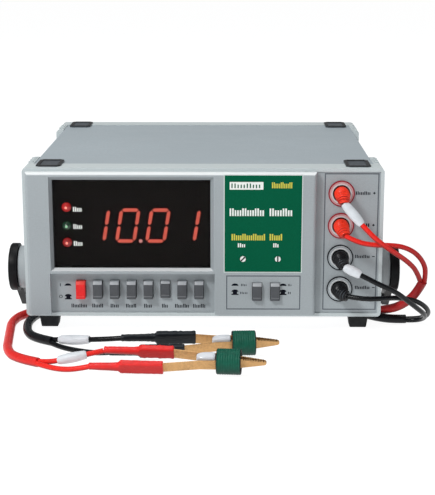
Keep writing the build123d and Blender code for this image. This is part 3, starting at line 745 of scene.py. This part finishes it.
def tag_piece(name, line, body="case"):
    """Marker sleeve that bulges a little in the middle."""
    bm = bmesh.new()
    last = len(line) - 1
    sizes = []
    for i in range(last + 1):
        share = 2 * i / last - 1
        edge = 0.35 if i in (0, last) else 0.0
        sizes.append((TAG_R - 0.35 + 0.7 * (1 - share * share) - edge) * MM)
    swept(bm, line, sizes, 28)
    return place(name, bm, TAG, body, "tag_white", smooth=60)


def straight(a, b, count=10):
    return [a.lerp(b, i / count) for i in range(count + 1)]


plugs = {row: plug_piece(row) for row in ROWS}
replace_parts(plugs["red_force"], "banana_plugs")
tags = {}
for row, end in TAG_ENDS.items():
    tags[row] = tag_piece(f"{row}_tag", straight(at(*BOOT_ENDS[row]), at(*end)))
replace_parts(tags["red_force"], "wire_tags")


def flat_ring(bm, x, z, r0, r1, d0, d1):
    """An annulus with rounded front edges between two depths, the nearer one first."""
    soft = min(0.25, (r1 - r0) / 3)
    profile = [(d1, r0), (d0 + soft, r0), (d0, r0 + soft), (d0, r1 - soft), (d0 + soft, r1), (d1, r1)]
    lathe(bm, at(x, 0, z), INWARD, profile, 56, closed=True)


def jack_pieces():
    """Every jack: coloured rim, tinted washer, pale bezel and a bore painted near black as shade."""
    for colour, rim, washer in (("red", RED_RING, PINK_BAND), ("black", BLACK_RING, PANEL)):
        rims, washers = bmesh.new(), bmesh.new()
        for row in (r for r in ROWS if r.startswith(colour)):
            z = jack_z(row)
            flat_ring(rims, JACK_X, z, 8.5, 9.2, -0.3, PANEL_FACE)
            flat_ring(washers, JACK_X, z, 6.9, 8.55, -0.1, PANEL_FACE)
        made = place(f"{colour}_jack_rims", rims, rim, slot="jack_plastic")
        place(f"{colour}_jack_washers", washers, washer, slot="jack_plastic")
    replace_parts(made, "jacks")
    bezels, bores = bmesh.new(), bmesh.new()
    for row in ROWS:
        z = jack_z(row)
        flat_ring(bezels, JACK_X, z, 6.1, 7.2, -0.6, PANEL_FACE)
        flat_ring(bores, JACK_X, z, 2.6, 6.15, 0.4, 22)
    place("jack_bezels", bezels, BEZEL, slot="jack_plastic")
    place("jack_sockets", bores, SHADED_HOLE, slot="jack_plastic")


jack_pieces()


# ---- Kelvin clips
# In a clip's own frame x runs to the tip, y is the opening direction and z is the strip's width.
CLIPS = {"red": ((18.4, -94.5, 9.0), -4.5, 26.5), "black": ((28.2, -55.0, 9.0), 3.5, 20.0)}
ARM_LINE = ((-72, 7.6), (-42, 6.9), (-19, 3.8), (-8, 3.5), (8.4, 1.3), (24.2, 0.5))
STRIP_T = 0.8
STRIP_HALF = 3.7
JAW_START = 8.4
TIP = 24.2
BAND_R = 8.5
BAND_HALF = 8.0
AXES = Vector((1, 0, 0)), Vector((0, 1, 0)), Vector((0, 0, 1))
LEGS = {-1: "fixed", 1: "moving"}  # by their side of the clip's axis
ARM_STARTS = {-1: -68.8, 1: -57.4}
TIP_STATIONS = (12, 17, 21, 22.7, 23.1, 23.5, 23.8, 24.0, TIP - 0.03)
TEETH = 13


def clip_frame(colour):
    """From a clip's own millimetres to the frame's metres."""
    spot, yaw, roll = CLIPS[colour]
    turn = Matrix.Rotation(math.radians(yaw), 4, "Z") @ Matrix.Rotation(math.radians(roll), 4, "X")
    return Matrix.Translation(at(*spot)) @ turn @ Matrix.Scale(MM, 4)


def arm_y(x):
    """How far a leg's middle line is from the clip's axis."""
    for (x0, y0), (x1, y1) in zip(ARM_LINE, ARM_LINE[1:]):
        if x <= x1:
            return y0 + (y1 - y0) * (x - x0) / (x1 - x0)
    return ARM_LINE[-1][1]


def arm_half_width(x):
    """Half the strip's width: full to the jaw, then narrowing to a round tip."""
    if x <= JAW_START:
        return STRIP_HALF
    taper = STRIP_HALF + (1.5 - STRIP_HALF) * (x - JAW_START) / (TIP - JAW_START)
    to_tip = TIP - x
    return taper if to_tip > 1.5 else taper * math.sqrt(max(0.04, 1 - (1 - to_tip / 1.5) ** 2))


def arm_piece(colour, side, body):
    """A leg's brass strip, which narrows to a round tip."""
    stations = [ARM_STARTS[side], *(x for x, _ in ARM_LINE[1:-1]), *TIP_STATIONS]
    half = STRIP_T / 2
    rings = []
    for x in stations:
        y, w = side * arm_y(x), arm_half_width(x)
        rings.append([Vector((x, y + b * half, a * w)) for a, b in CORNERS])
    bm = bmesh.new()
    loft(bm, rings)
    bm.transform(clip_frame(colour))
    return place(f"{colour}_clip_{LEGS[side]}_leg", bm, BRASS, body, "clip_brass", round_edges=0.14, smooth=25)


def teeth_piece(colour, side, body):
    """Serrations along the upper edge of a jaw, painted dark brown as the shade between the jaws."""
    bm = bmesh.new()
    for i in range(TEETH):
        x = 9.6 + i * 1.05
        y, w = side * arm_y(x), arm_half_width(x)
        root = [Vector((x + a * 0.5, y + b * 0.42, w - 0.5)) for a, b in CORNERS]
        crest = [Vector((x + a * 0.05, y + b * 0.36, w + 0.32)) for a, b in CORNERS]
        loft(bm, [root, crest])
    bm.transform(clip_frame(colour))
    return place(f"{colour}_clip_{LEGS[side]}_teeth", bm, BRASS_DARK, body, "clip_brass")


# Where each leg's thin sleeve and thick sleeve start, and where the thick one ends.
SLEEVES = {("red", -1): (-90.3, -70.0, -42.0), ("red", 1): (-82.4, -58.6, -36.3),
           ("black", -1): (-90.3, -70.0, -40.0), ("black", 1): (-82.4, -58.6, -32.0)}


def sleeve_piece(colour, side, body):
    """Two heat-shrink sleeves in one skin: a round one on the wire and a flat one over the leg."""
    thin, thick, end = SLEEVES[colour, side]
    stations = [
        (thin, 7.6, 2.0, 2.0, 2.0), (thin + 0.5, 7.6, 2.3, 2.35, 2.0), (thin + 7, 7.6, 2.3, 2.6, 2.1),
        (thick - 4, 7.5, 2.3, 2.9, 2.2), (thick - 1.2, 7.4, 2.35, 3.1, 2.5),
        (thick - 0.3, 7.3, 2.45, 3.6, 3.2), (thick + 0.2, 7.25, 2.5, 4.25, 5.0),
        (thick + 1.2, 7.2, 2.4, 4.45, 6.0), ((thick + end) / 2, 7.2, 2.3, 4.4, 6.0),
        (end - 1.0, 7.1, 2.25, 4.45, 6.0), (end - 0.15, 7.05, 2.15, 4.3, 6.0), (end, 7.0, 1.9, 4.05, 6.0)]
    draw = random.Random(f"{colour}{side}")
    crinkle = 0.2 if side > 0 else 0.08
    dense = []
    for (x0, *a), (x1, *b) in zip(stations, stations[1:]):
        steps = max(1, round((x1 - x0) / 1.6))
        for i in range(steps):
            share = i / steps
            dense.append((x0 + (x1 - x0) * share, *[p + (q - p) * share for p, q in zip(a, b)]))
    dense.append(stations[-1])
    rings = []
    for x, y, thickness, width, power in dense:
        centre = Vector((x, side * y, 0))
        swell = 1 + draw.uniform(-crinkle, crinkle) / 4
        points = ring(centre, AXES[1], AXES[2], thickness, width, power, 36)
        rings.append([centre + (p - centre) * swell for p in points])
    bm = bmesh.new()
    loft(bm, rings)
    bm.transform(clip_frame(colour))
    material = RED_SLEEVE if colour == "red" else BLACK_SLEEVE
    piece = place(f"{colour}_clip_{LEGS[side]}_shrink", bm, material, body, f"lead_{colour}", smooth=48)
    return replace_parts(piece, f"{colour}_clip_{LEGS[side]}_sleeve")


def band_piece(colour):
    """Elastic band wound round both legs, open at its ends."""
    profile = []
    turns = 9
    for i in range(turns * 8 + 1):
        share = i / (turns * 8)
        x = (2 * share - 1) * (BAND_HALF - 0.9)
        profile.append((x, BAND_R - 0.12 + 0.12 * math.cos(share * turns * 2 * math.pi)))
    lip = [(BAND_HALF - 0.55, BAND_R - 0.3), (BAND_HALF - 0.5, 7.0), (BAND_HALF - 1.4, 6.6)]
    back = [(-x, r) for x, r in reversed(lip)]
    bm = bmesh.new()
    lathe(bm, Vector(), AXES[0], profile + lip + back, 56, closed=True, unit=1)
    bm.transform(clip_frame(colour))
    band = place(f"{colour}_clip_elastic", bm, BAND, "case", "band_green", smooth=50)
    rims = bmesh.new()
    for side in (-1, 1):
        rim = [(BAND_HALF - 0.6, 6.6), (BAND_HALF - 0.1, 6.8), (BAND_HALF, BAND_R - 0.7),
               (BAND_HALF - 0.3, BAND_R - 0.3), (BAND_HALF - 0.9, BAND_R - 0.3)]
        lathe(rims, Vector(), AXES[0], [(side * x, r) for x, r in rim], 56, closed=True, unit=1)
    rims.transform(clip_frame(colour))
    place(f"{colour}_clip_elastic_rims", rims, RUBBER, "case", "band_green", smooth=50)
    return band


def pad_piece(colour, body):
    """Moulded fulcrum over the sprung leg, pinched towards its rear end."""
    stations = [(-21.2, 1.5, 2.6), (-20.9, 2.2, 3.2), (-19.4, 3.0, 4.0), (-17.0, 3.45, 4.6),
                (-12.5, 3.6, 4.75), (-9.4, 3.5, 4.6), (-8.8, 3.2, 4.3), (-8.6, 2.6, 3.6)]
    rings = [ring(Vector((x, 1.6, 0)), AXES[1], AXES[2], a, b, 3.2, 32) for x, a, b in stations]
    bm = bmesh.new()
    loft(bm, rings)
    bm.transform(clip_frame(colour))
    piece = place(f"{colour}_clip_fulcrum", bm, PAD, body, "pad_white", smooth=60)
    piece.modifiers.new("round", "SUBSURF").levels = 1
    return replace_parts(piece, f"{colour}_clip_pad")


def make_clip(colour):
    """All of a clip, and the pieces that other calls name."""
    leg = f"{colour}_clip_leg"
    sides = ((-1, "case"), (1, leg))
    arms = [arm_piece(colour, side, body) for side, body in sides]
    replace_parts(arms[1], f"{colour}_clip_moving_arm")
    for side, body in sides:
        teeth_piece(colour, side, body)
    sleeves = [sleeve_piece(colour, side, body) for side, body in sides]
    band = band_piece(colour)
    pad_piece(colour, leg)
    return {"fixed_arm": arms[0], "fixed_sleeve": sleeves[0], "moving_sleeve": sleeves[1], "band": band}


clips = {colour: make_clip(colour) for colour in CLIPS}
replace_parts(clips["red"]["fixed_arm"], "clip_fixed_arms")
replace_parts(clips["red"]["band"], "clip_bands")


# ---- the leads themselves
COLLAR_LENGTH = 0.012  # metres
CLIP_TAGS = {"red": (0.0165, 0.0195), "black": (0.0105, 0.0225)}  # start and length on the wire, in metres


def sheath_end(name, at_start):
    """Short shrink collar where a sheath splits into two wires."""
    line = lead_line(name)
    part = stretch_of(line if at_start else line[::-1], 0.0, COLLAR_LENGTH)
    last = len(part) - 1
    sizes = [(SHEATH_D / 2 - 0.8 * (1 - i / last) ** 2) * MM for i in range(len(part))]
    bm = bmesh.new()
    swept(bm, part, sizes, 28)
    colour = name.split("_")[0]
    where = "jack" if at_start else "clip"
    return place(f"{colour}_{where}_split", bm, lead_material(name), slot=f"lead_{colour}", smooth=60)


def declare(lead, name):
    """Work out a mesh lead's line; nothing is done with it."""
    path = [list(p) for p in lead_line(name)] if lead.type == "MESH" else None


for colour in CLIPS:
    sheath = make_lead(f"{colour}_sheath")
    collars = [sheath_end(f"{colour}_sheath", True), sheath_end(f"{colour}_sheath", False)]
    declare(sheath, f"{colour}_sheath")
    for row in (f"{colour}_force", f"{colour}_sense"):
        wire = make_lead(f"{row}_wire")
        declare(wire, f"{row}_wire")
    front = make_lead(f"{colour}_front_clip_wire")
    declare(front, f"{colour}_front_clip_wire")
    rear_name = f"{colour}_rear_clip_wire"
    rear = make_bending_lead(rear_name)
    rear_line = lead_line(rear_name)
    clip_tag = tag_piece(f"{colour}_clip_tag", stretch_of(rear_line, *CLIP_TAGS[colour]), body=None)
    bend_with_leg(clip_tag)
    declare(rear, rear_name)


# ---- case and panel
# Each node's material, then the width, segments and least angle of its rounded edges where it has them.
FINISHES = {
    "front_frame": (CASE, 0.7), "rear_frame": (CASE, 0.7), "top_cover": (COVER, 0.4),
    "bottom_cover": (COVER, 0.4), "rear_panel": (COVER,), "front_panel": (PANEL,), "display_window": (SMOKED,),
    "label_plate": (LABEL,), "rubber_feet": (RUBBER, 0.9, 3), "stacking_pads": (PAD_RUBBER, 0.25),
    "foot_screws": (STEEL,),
    "pivot_bosses": (BOSS, 0.8), "tilt_bail": (BAIL, 0.9, 3, 50), "low_limit_trimmer": (WHITE_INK,),
    "high_limit_trimmer": (WHITE_INK,), "mains_inlet": (BLACK, 0.3), "fuse_holder": (BLACK, 0.6),
    "jack_contacts": (STEEL,), "switch_banks": (BLACK,), "trimmer_pots": (BLACK,), "panel_boards": (BOARD,),
    "main_board": (BOARD,), "board_posts": (STEEL,), "transformer": (IRON,), "digit_modules": (DIGIT_FACE,),
}
for node, finish in FINISHES.items():
    dress(node, *finish)


# ---- display
DIGIT_PITCH = 21.3
DIGIT_X = middle("digit_modules")[0] - 1.5 * DIGIT_PITCH
DIGIT_Z = middle("digit_modules")[2]
DIGIT_FACE_D = front_of("digit_modules")
DIGIT_W, DIGIT_H = 12.2, 22.4  # between the middles of the outer segments
STROKE = 2.3
SLANT = math.tan(math.radians(9.5))
SEGMENTS = {"a": ((0, 2), (1, 2)), "b": ((1, 2), (1, 1)), "c": ((1, 1), (1, 0)), "d": ((0, 0), (1, 0)),
            "e": ((0, 1), (0, 0)), "f": ((0, 2), (0, 1)), "g": ((0, 1), (1, 1))}
NUMERALS = {"0": "abcdef", "1": "bc"}
READING = "1001"
POINT_AFTER = 1


def segment_outline(middle_x, ends, stroke, gap):
    """A bar with pointed ends between two corners of the digit, leaning to the right."""
    (i0, j0), (i1, j1) = ends
    start = Vector(((i0 - 0.5) * DIGIT_W, (j0 / 2 - 0.5) * DIGIT_H))
    end = Vector(((i1 - 0.5) * DIGIT_W, (j1 / 2 - 0.5) * DIGIT_H))
    along = (end - start).normalized()
    across = Vector((-along.y, along.x))
    half = stroke / 2
    start, end = start + along * gap, end - along * gap
    corners = [start, start + (along + across) * half, end + (across - along) * half,
               end, end - (along + across) * half, start + (along - across) * half]
    return [(middle_x + p.x + p.y * SLANT, DIGIT_Z + p.y) for p in corners]


def make_display():
    """Lit and dark segments, a faint glow round the lit ones, the point, and a dark mask behind them."""
    lit_bars, dark_bars, glow_bars = bmesh.new(), bmesh.new(), bmesh.new()
    for cell, numeral in enumerate(READING):
        x = DIGIT_X + DIGIT_PITCH * cell
        for letter, ends in SEGMENTS.items():
            if letter in NUMERALS[numeral]:
                plate(lit_bars, segment_outline(x, ends, STROKE, 0.45), DIGIT_FACE_D - 0.12, DIGIT_FACE_D)
                glow = segment_outline(x, ends, STROKE + 1.1, -0.2)
                plate(glow_bars, glow, DIGIT_FACE_D - 0.06, DIGIT_FACE_D)
            else:
                plate(dark_bars, segment_outline(x, ends, STROKE, 0.3), DIGIT_FACE_D - 0.05, DIGIT_FACE_D)
    point_x = DIGIT_X + DIGIT_PITCH * (POINT_AFTER + 0.42)
    point_z = DIGIT_Z - DIGIT_H / 2
    points = bmesh.new()
    for bm, radius, proud in ((points, 1.25, 0.12), (glow_bars, 1.8, 0.06)):
        lathe(bm, at(point_x, DIGIT_FACE_D, point_z), -INWARD, [(0, radius), (proud, radius)], 24)
    x0, x1, _, _, z0, z1 = extent("display_window")
    mask = bmesh.new()
    slab(mask, x0 + 1, x1 - 1, DIGIT_FACE_D + 0.02, DIGIT_FACE_D + 0.4, z0 + 1, z1 - 1)
    for name, bm, material in (("lit_segments", lit_bars, LIT_SEGMENT), ("segment_glow", glow_bars, GLOW),
                               ("unlit_segments", dark_bars, DARK_SEGMENT),
                               ("decimal_point", points, LIT_POINT), ("display_mask", mask, DIGIT_FACE)):
        place(name, bm, material, slot="display_module")


# Each lamp's height, lens and the glowing dome inside it, a painted glint.
LAMPS = {"high_lamp": (91.0, HIGH_LENS, LAMP_GLINT), "go_lamp": (77.6, GO_LENS, GO_GLINT),
         "low_lamp": (65.7, LOW_LENS, LAMP_GLINT)}


def make_lamps():
    """Round lamp lenses that stand proud of the window."""
    x = middle("indicator_lamps")[0]
    front = PANE_FACE - 0.05
    profile = [(6.0, 2.2), (5.9, 2.7), (front, 2.7), (front - 0.05, 3.35), (-1.7, 3.4), (-2.3, 3.15),
               (-3.0, 2.6), (-3.7, 1.85), (-4.25, 1.1), (-4.55, 0.5), (-4.65, 0.12)]
    glint = [(-4.2, 0.95), (-4.5, 0.8), (-4.64, 0.45)]
    for name, (z, material, painted_glint) in LAMPS.items():
        bm, inner = bmesh.new(), bmesh.new()
        lathe(bm, at(x, 0, z), INWARD, profile, 32)
        lathe(inner, at(x, 0, z), INWARD, glint, 24)
        place(f"{name}_core", inner, painted_glint, slot="lamp_lens", smooth=50)
        lamp = place(name, bm, material, slot="lamp_lens", smooth=50)
    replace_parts(lamp, "indicator_lamps")


make_display()
make_lamps()


# ---- buttons
def button_piece(node, material, slot):
    """Push-button cap with a sloped top, a slightly scooped face and a finger ridge near the bottom."""
    x0, x1, face, back, z0, z1 = extent(node)
    side = [(face + 11.0, z1), (face + 2.0, z1), (face + 0.35, z1 - 2.1), (face + 0.75, (z0 + z1) / 2),
            (face + 0.95, z0 + 2.4), (face + 0.1, z0 + 1.0), (face + 0.5, z0), (face + 11.0, z0)]
    stations = [(x0, 0.35), (x0 + 0.4, 0.0), (x1 - 0.4, 0.0), (x1, 0.35)]
    rings = [[at(x, d + (inset if d < face + 1.5 else 0), z) for d, z in side] for x, inset in stations]
    bm = bmesh.new()
    loft(bm, rings)
    mid_x, mid_z = (x0 + x1) / 2, (z0 + z1) / 2
    slab(bm, mid_x - 2, mid_x + 2, face + 10.9, back, mid_z - 2, mid_z + 2)
    cap = place(f"{node}_cap", bm, material, node, slot, round_edges=0.22, smooth=30)
    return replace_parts(cap, node)


for number in range(1, 8):
    button_piece(f"range_button_{number}", GREY_CAP, "button_grey")
for node in ("mode_button", "buzzer_button"):
    button_piece(node, GREY_CAP, "button_grey")
button_piece("power_button", RED_CAP, "button_red")


# ---- hubs
def hub_piece(side):
    """Domed hub cap on the end of the pivot pin."""
    _, pivot_d, pivot_z = middle("pivot_hubs")
    profile = [(126.5, 3.0), (140.3, 3.0), (140.35, 16.6), (140.7, 16.9), (141.1, 16.4), (141.4, 15.2),
               (141.6, 13.0), (141.5, 11.0), (140.9, 10.2), (140.8, 4.0), (141.1, 3.2), (141.1, 0.4)]
    bm = bmesh.new()
    lathe(bm, at(0, pivot_d, pivot_z), Vector((side, 0, 0)), profile, 64)
    return place("left_hub" if side < 0 else "right_hub", bm, HUB, slot="black_plastic", smooth=40)


hub_piece(-1)
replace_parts(hub_piece(1), "pivot_hubs")


# ---- printing
def marks(bm, x0, x1, z0, z1, face, words, pitch, cover=0.64):
    """Rows of plain upright bars in place of words: words are shares of the width, parted by wider gaps."""
    total = sum(words) + 0.08 * (len(words) - 1)
    x = x0
    for word in words:
        end = x + (x1 - x0) * word / total
        count = max(1, round((end - x) / pitch))
        step = (end - x) / count
        for i in range(count):
            tall = 1.0 if i % 5 in (0, 1) else 0.76
            slab(bm, x + i * step, x + (i + cover) * step, face - PRINT, face, z0, z0 + (z1 - z0) * tall)
        x = end + (x1 - x0) * 0.08 / total


def push_symbol(bm, x, z, face, pressed):
    """A dome for a button that is out, and the same dome on a foot for one that is pressed."""
    outline = [(x + 2.5 * math.cos(t), z + 1.7 * math.sin(t)) for t in (math.pi * i / 8 for i in range(9))]
    plate(bm, outline, face - PRINT, face)
    if pressed:
        slab(bm, x - 1.5, x + 1.5, face - PRINT, face, z - 1.6, z)
        slab(bm, x - 2.5, x + 2.5, face - PRINT, face, z - 2.3, z - 1.5)


def grown(zone, by):
    """A rectangle of (x0, x1, z0, z1) with every side moved out."""
    x0, x1, z0, z1 = zone
    return x0 - by, x1 + by, z0 - by, z1 + by


def frame_bars(bm, outer, inner, d0, d1):
    """Four bars that fill the space between two rectangles."""
    left, right, low, high = outer
    x0, x1, z0, z1 = inner
    slab(bm, left, right, d0, d1, low, z0)
    slab(bm, left, right, d0, d1, z1, high)
    slab(bm, left, x0, d0, d1, z0, z1)
    slab(bm, x1, right, d0, d1, z0, z1)


# Where the printing is. A zone is (x0, x1, z0, z1).
LAMP_WORDS = (-91.2, -84.7)
LAMP_WORD_Z = (89.4, 77.0, 64.8)
LOGO_BLOCK = (18.6, 42.0, 104.5, 109.9)
LOGO_BARS = (19.8, 41.0, 105.6, 108.8)
# Rows on the label: zone, words and the bars' pitch.
WHITE_ROWS = (((18.6, 62.8, 85.8, 91.2), (0.6, 0.4), 1.75), ((24.4, 30.0, 63.4, 66.3), (1,), 1.4),
              ((49.2, 53.4, 63.4, 66.3), (1,), 1.4))
YELLOW_ROWS = (((47.9, 62.4, 105.5, 109.7), (1,), 1.2), ((20.0, 55.9, 68.4, 73.0), (0.72, 0.28), 1.5))
BUTTON_WORDS = ((-94.3, -82.9), (-79.4, -71.3), (-66.3, -60.1), (-55.2, -47.6),
                (-42.3, -36.5), (-29.5, -25.0), (-20.2, -10.0), (-7.3, 1.8))
BUTTON_WORD_Z = (17.3, 20.1)
# Symbols for a button that is out and one that is in: x, the face they are on, and both heights.
SYMBOLS = ((-96.4, PANEL_FACE, (33.4, 25.6)), (22.5, BLOCK_FACE, (35.4, 31.0)),
           (56.4, BLOCK_FACE, (35.4, 31.0)))
SYMBOL_WORDS = ((26.8, 31.2, 36.0), (26.2, 31.8, 30.2), (60.0, 62.8, 36.0), (60.0, 62.5, 30.2))
# Words beside the jacks: x0, x1, z, and whether a plus follows them instead of a minus.
JACK_WORDS = ((106.9, 117.4, 100.9, True), (114.4, 117.4, 78.0, True), (107.4, 118.0, 55.3, False),
              (107.8, 118.6, 32.6, False))
GROOVED_ZONES = (((16.2, 68.8, 17.9, 43.0), BLOCK_FACE), ((84.8, 123.0, 16.0, 115.0), PANEL_FACE))
GROOVE_WIDTH = 0.9
BORDER_WIDTH = 0.6


def make_printing():
    """Everything printed or engraved on the front."""
    white, yellow, dark, border, ground, groove = (bmesh.new() for _ in range(6))
    for z in LAMP_WORD_Z:
        marks(white, *LAMP_WORDS, z - 1.7, z + 1.7, PANE_FACE, (1,), 1.4)
    x0, x1, z0, z1 = LOGO_BLOCK
    slab(white, x0, x1, LABEL_FACE - PRINT, LABEL_FACE, z0, z1)
    marks(ground, *LOGO_BARS, LABEL_FACE - PRINT, (1,), 2.1, 0.4)
    for bm, rows in ((white, WHITE_ROWS), (yellow, YELLOW_ROWS)):
        for zone, words, pitch in rows:
            marks(bm, *zone, LABEL_FACE, words, pitch)
    for x0, x1 in BUTTON_WORDS:
        marks(dark, x0, x1, *BUTTON_WORD_Z, PANEL_FACE, (1,), 1.15, 0.58)
    for x, face, rows in SYMBOLS:
        for z, pressed in zip(rows, (False, True)):
            push_symbol(dark, x, z, face, pressed)
    for x0, x1, z in SYMBOL_WORDS:
        marks(dark, x0, x1, z - 0.8, z + 0.8, BLOCK_FACE, (1,), 1.1, 0.45)
    slab(dark, -102.1, -101.6, PANEL_FACE - PRINT, PANEL_FACE, 32.9, 35.1)
    flat_ring(dark, -101.7, 25.4, 0.8, 1.3, PANEL_FACE - PRINT, PANEL_FACE)
    for x0, x1, z, plus in JACK_WORDS:
        marks(dark, x0, x1, z - 1.2, z + 1.2, PANEL_FACE, (1,), 1.2, 0.58)
        slab(dark, x1 + 1.4, x1 + 3.2, PANEL_FACE - PRINT, PANEL_FACE, z - 0.3, z + 0.3)
        if plus:
            slab(dark, x1 + 2.0, x1 + 2.6, PANEL_FACE - PRINT, PANEL_FACE, z - 0.9, z + 0.9)
    x0, x1, _, _, z0, z1 = extent("label_plate")
    label = (x0, x1, z0, z1)
    frame_bars(border, grown(label, BORDER_WIDTH), label, BLOCK_FACE - 0.15, BLOCK_FACE + 0.3)
    # Painted shade along the engraved grooves.
    for zone, face in GROOVED_ZONES:
        frame_bars(groove, zone, grown(zone, -GROOVE_WIDTH), face - PRINT / 2, face + 0.2)
    place("groove_shadows", groove, GROOVE_SHADE, slot="panel_plastic")
    for name, bm, material in (("white_printing", white, WHITE_INK), ("block_bars", ground, LABEL),
                               ("yellow_printing", yellow, YELLOW_INK)):
        place(name, bm, material, slot="label_green")
    place("dark_printing", dark, DARK_INK, slot="panel_plastic")
    place("label_border", border, EDGE_INK, slot="panel_plastic")


make_printing()


RATING_PLATE = (62.0, 44.0)
RATING_ROWS = 4
SCREW_DOME = ((0.0, 3.0), (0.5, 2.9), (1.0, 2.2), (1.2, 1.0))
SCREW_INSET = 9


def make_rear_details():
    """Plain bars by the inlet and the fuse, a rating plate without text, and the rear panel's screws."""
    x0, x1, _, rear, z0, z1 = extent("rear_panel")
    fuse_x, _, fuse_z = middle("fuse_holder")
    inlet_x, _, inlet_z = middle("mains_inlet")
    bars, sheet, screws = bmesh.new(), bmesh.new(), bmesh.new()
    marks(bars, inlet_x - 7, inlet_x + 7, inlet_z + 13.5, inlet_z + 15.5, rear + PRINT, (1,), 1.5)
    marks(bars, fuse_x - 5, fuse_x + 5, fuse_z + 9.5, fuse_z + 11.5, rear + PRINT, (1,), 1.5)
    plate_x, plate_z = RATING_PLATE
    slab(sheet, plate_x - 24, plate_x + 24, rear, rear + 0.3, plate_z - 13, plate_z + 13)
    for i in range(RATING_ROWS):
        z = plate_z + 7.5 - i * 5
        end = plate_x + 20 - 5 * (i % 3)
        marks(bars, plate_x - 20, end, z - 1.1, z + 1.1, rear + 0.3 + PRINT, (0.4, 0.25, 0.35), 1.5)
    for x in (x0 + SCREW_INSET, x1 - SCREW_INSET):
        for z in (z0 + SCREW_INSET, z1 - SCREW_INSET):
            lathe(screws, at(x, rear, z), INWARD, SCREW_DOME, 28)
    place("rear_printing", bars, DARK_INK, slot="cover_paint")
    place("rating_plate", sheet, EDGE_INK, slot="cover_paint", round_edges=0.1)
    place("rear_screws", screws, STEEL, slot="steel")


make_rear_details()


def screw_slot(node, lean):
    """Shadowed slot of a trimmer screw, which leans right from upright by some degrees."""
    x, _, z = middle(node)
    face = front_of(node)
    bm = bmesh.new()
    slab(bm, x - 0.5, x + 0.5, face - PRINT, face + 0.3, z - 1.9, z + 1.9)
    centre = at(x, face, z)
    turn = Matrix.Rotation(math.radians(lean), 4, "Y")
    bm.transform(Matrix.Translation(centre) @ turn @ Matrix.Translation(-centre))
    place(f"{node}_slot", bm, SHADED_HOLE, node, "trimmer_white")


screw_slot("low_limit_trimmer", 45)
screw_slot("high_limit_trimmer", 0)
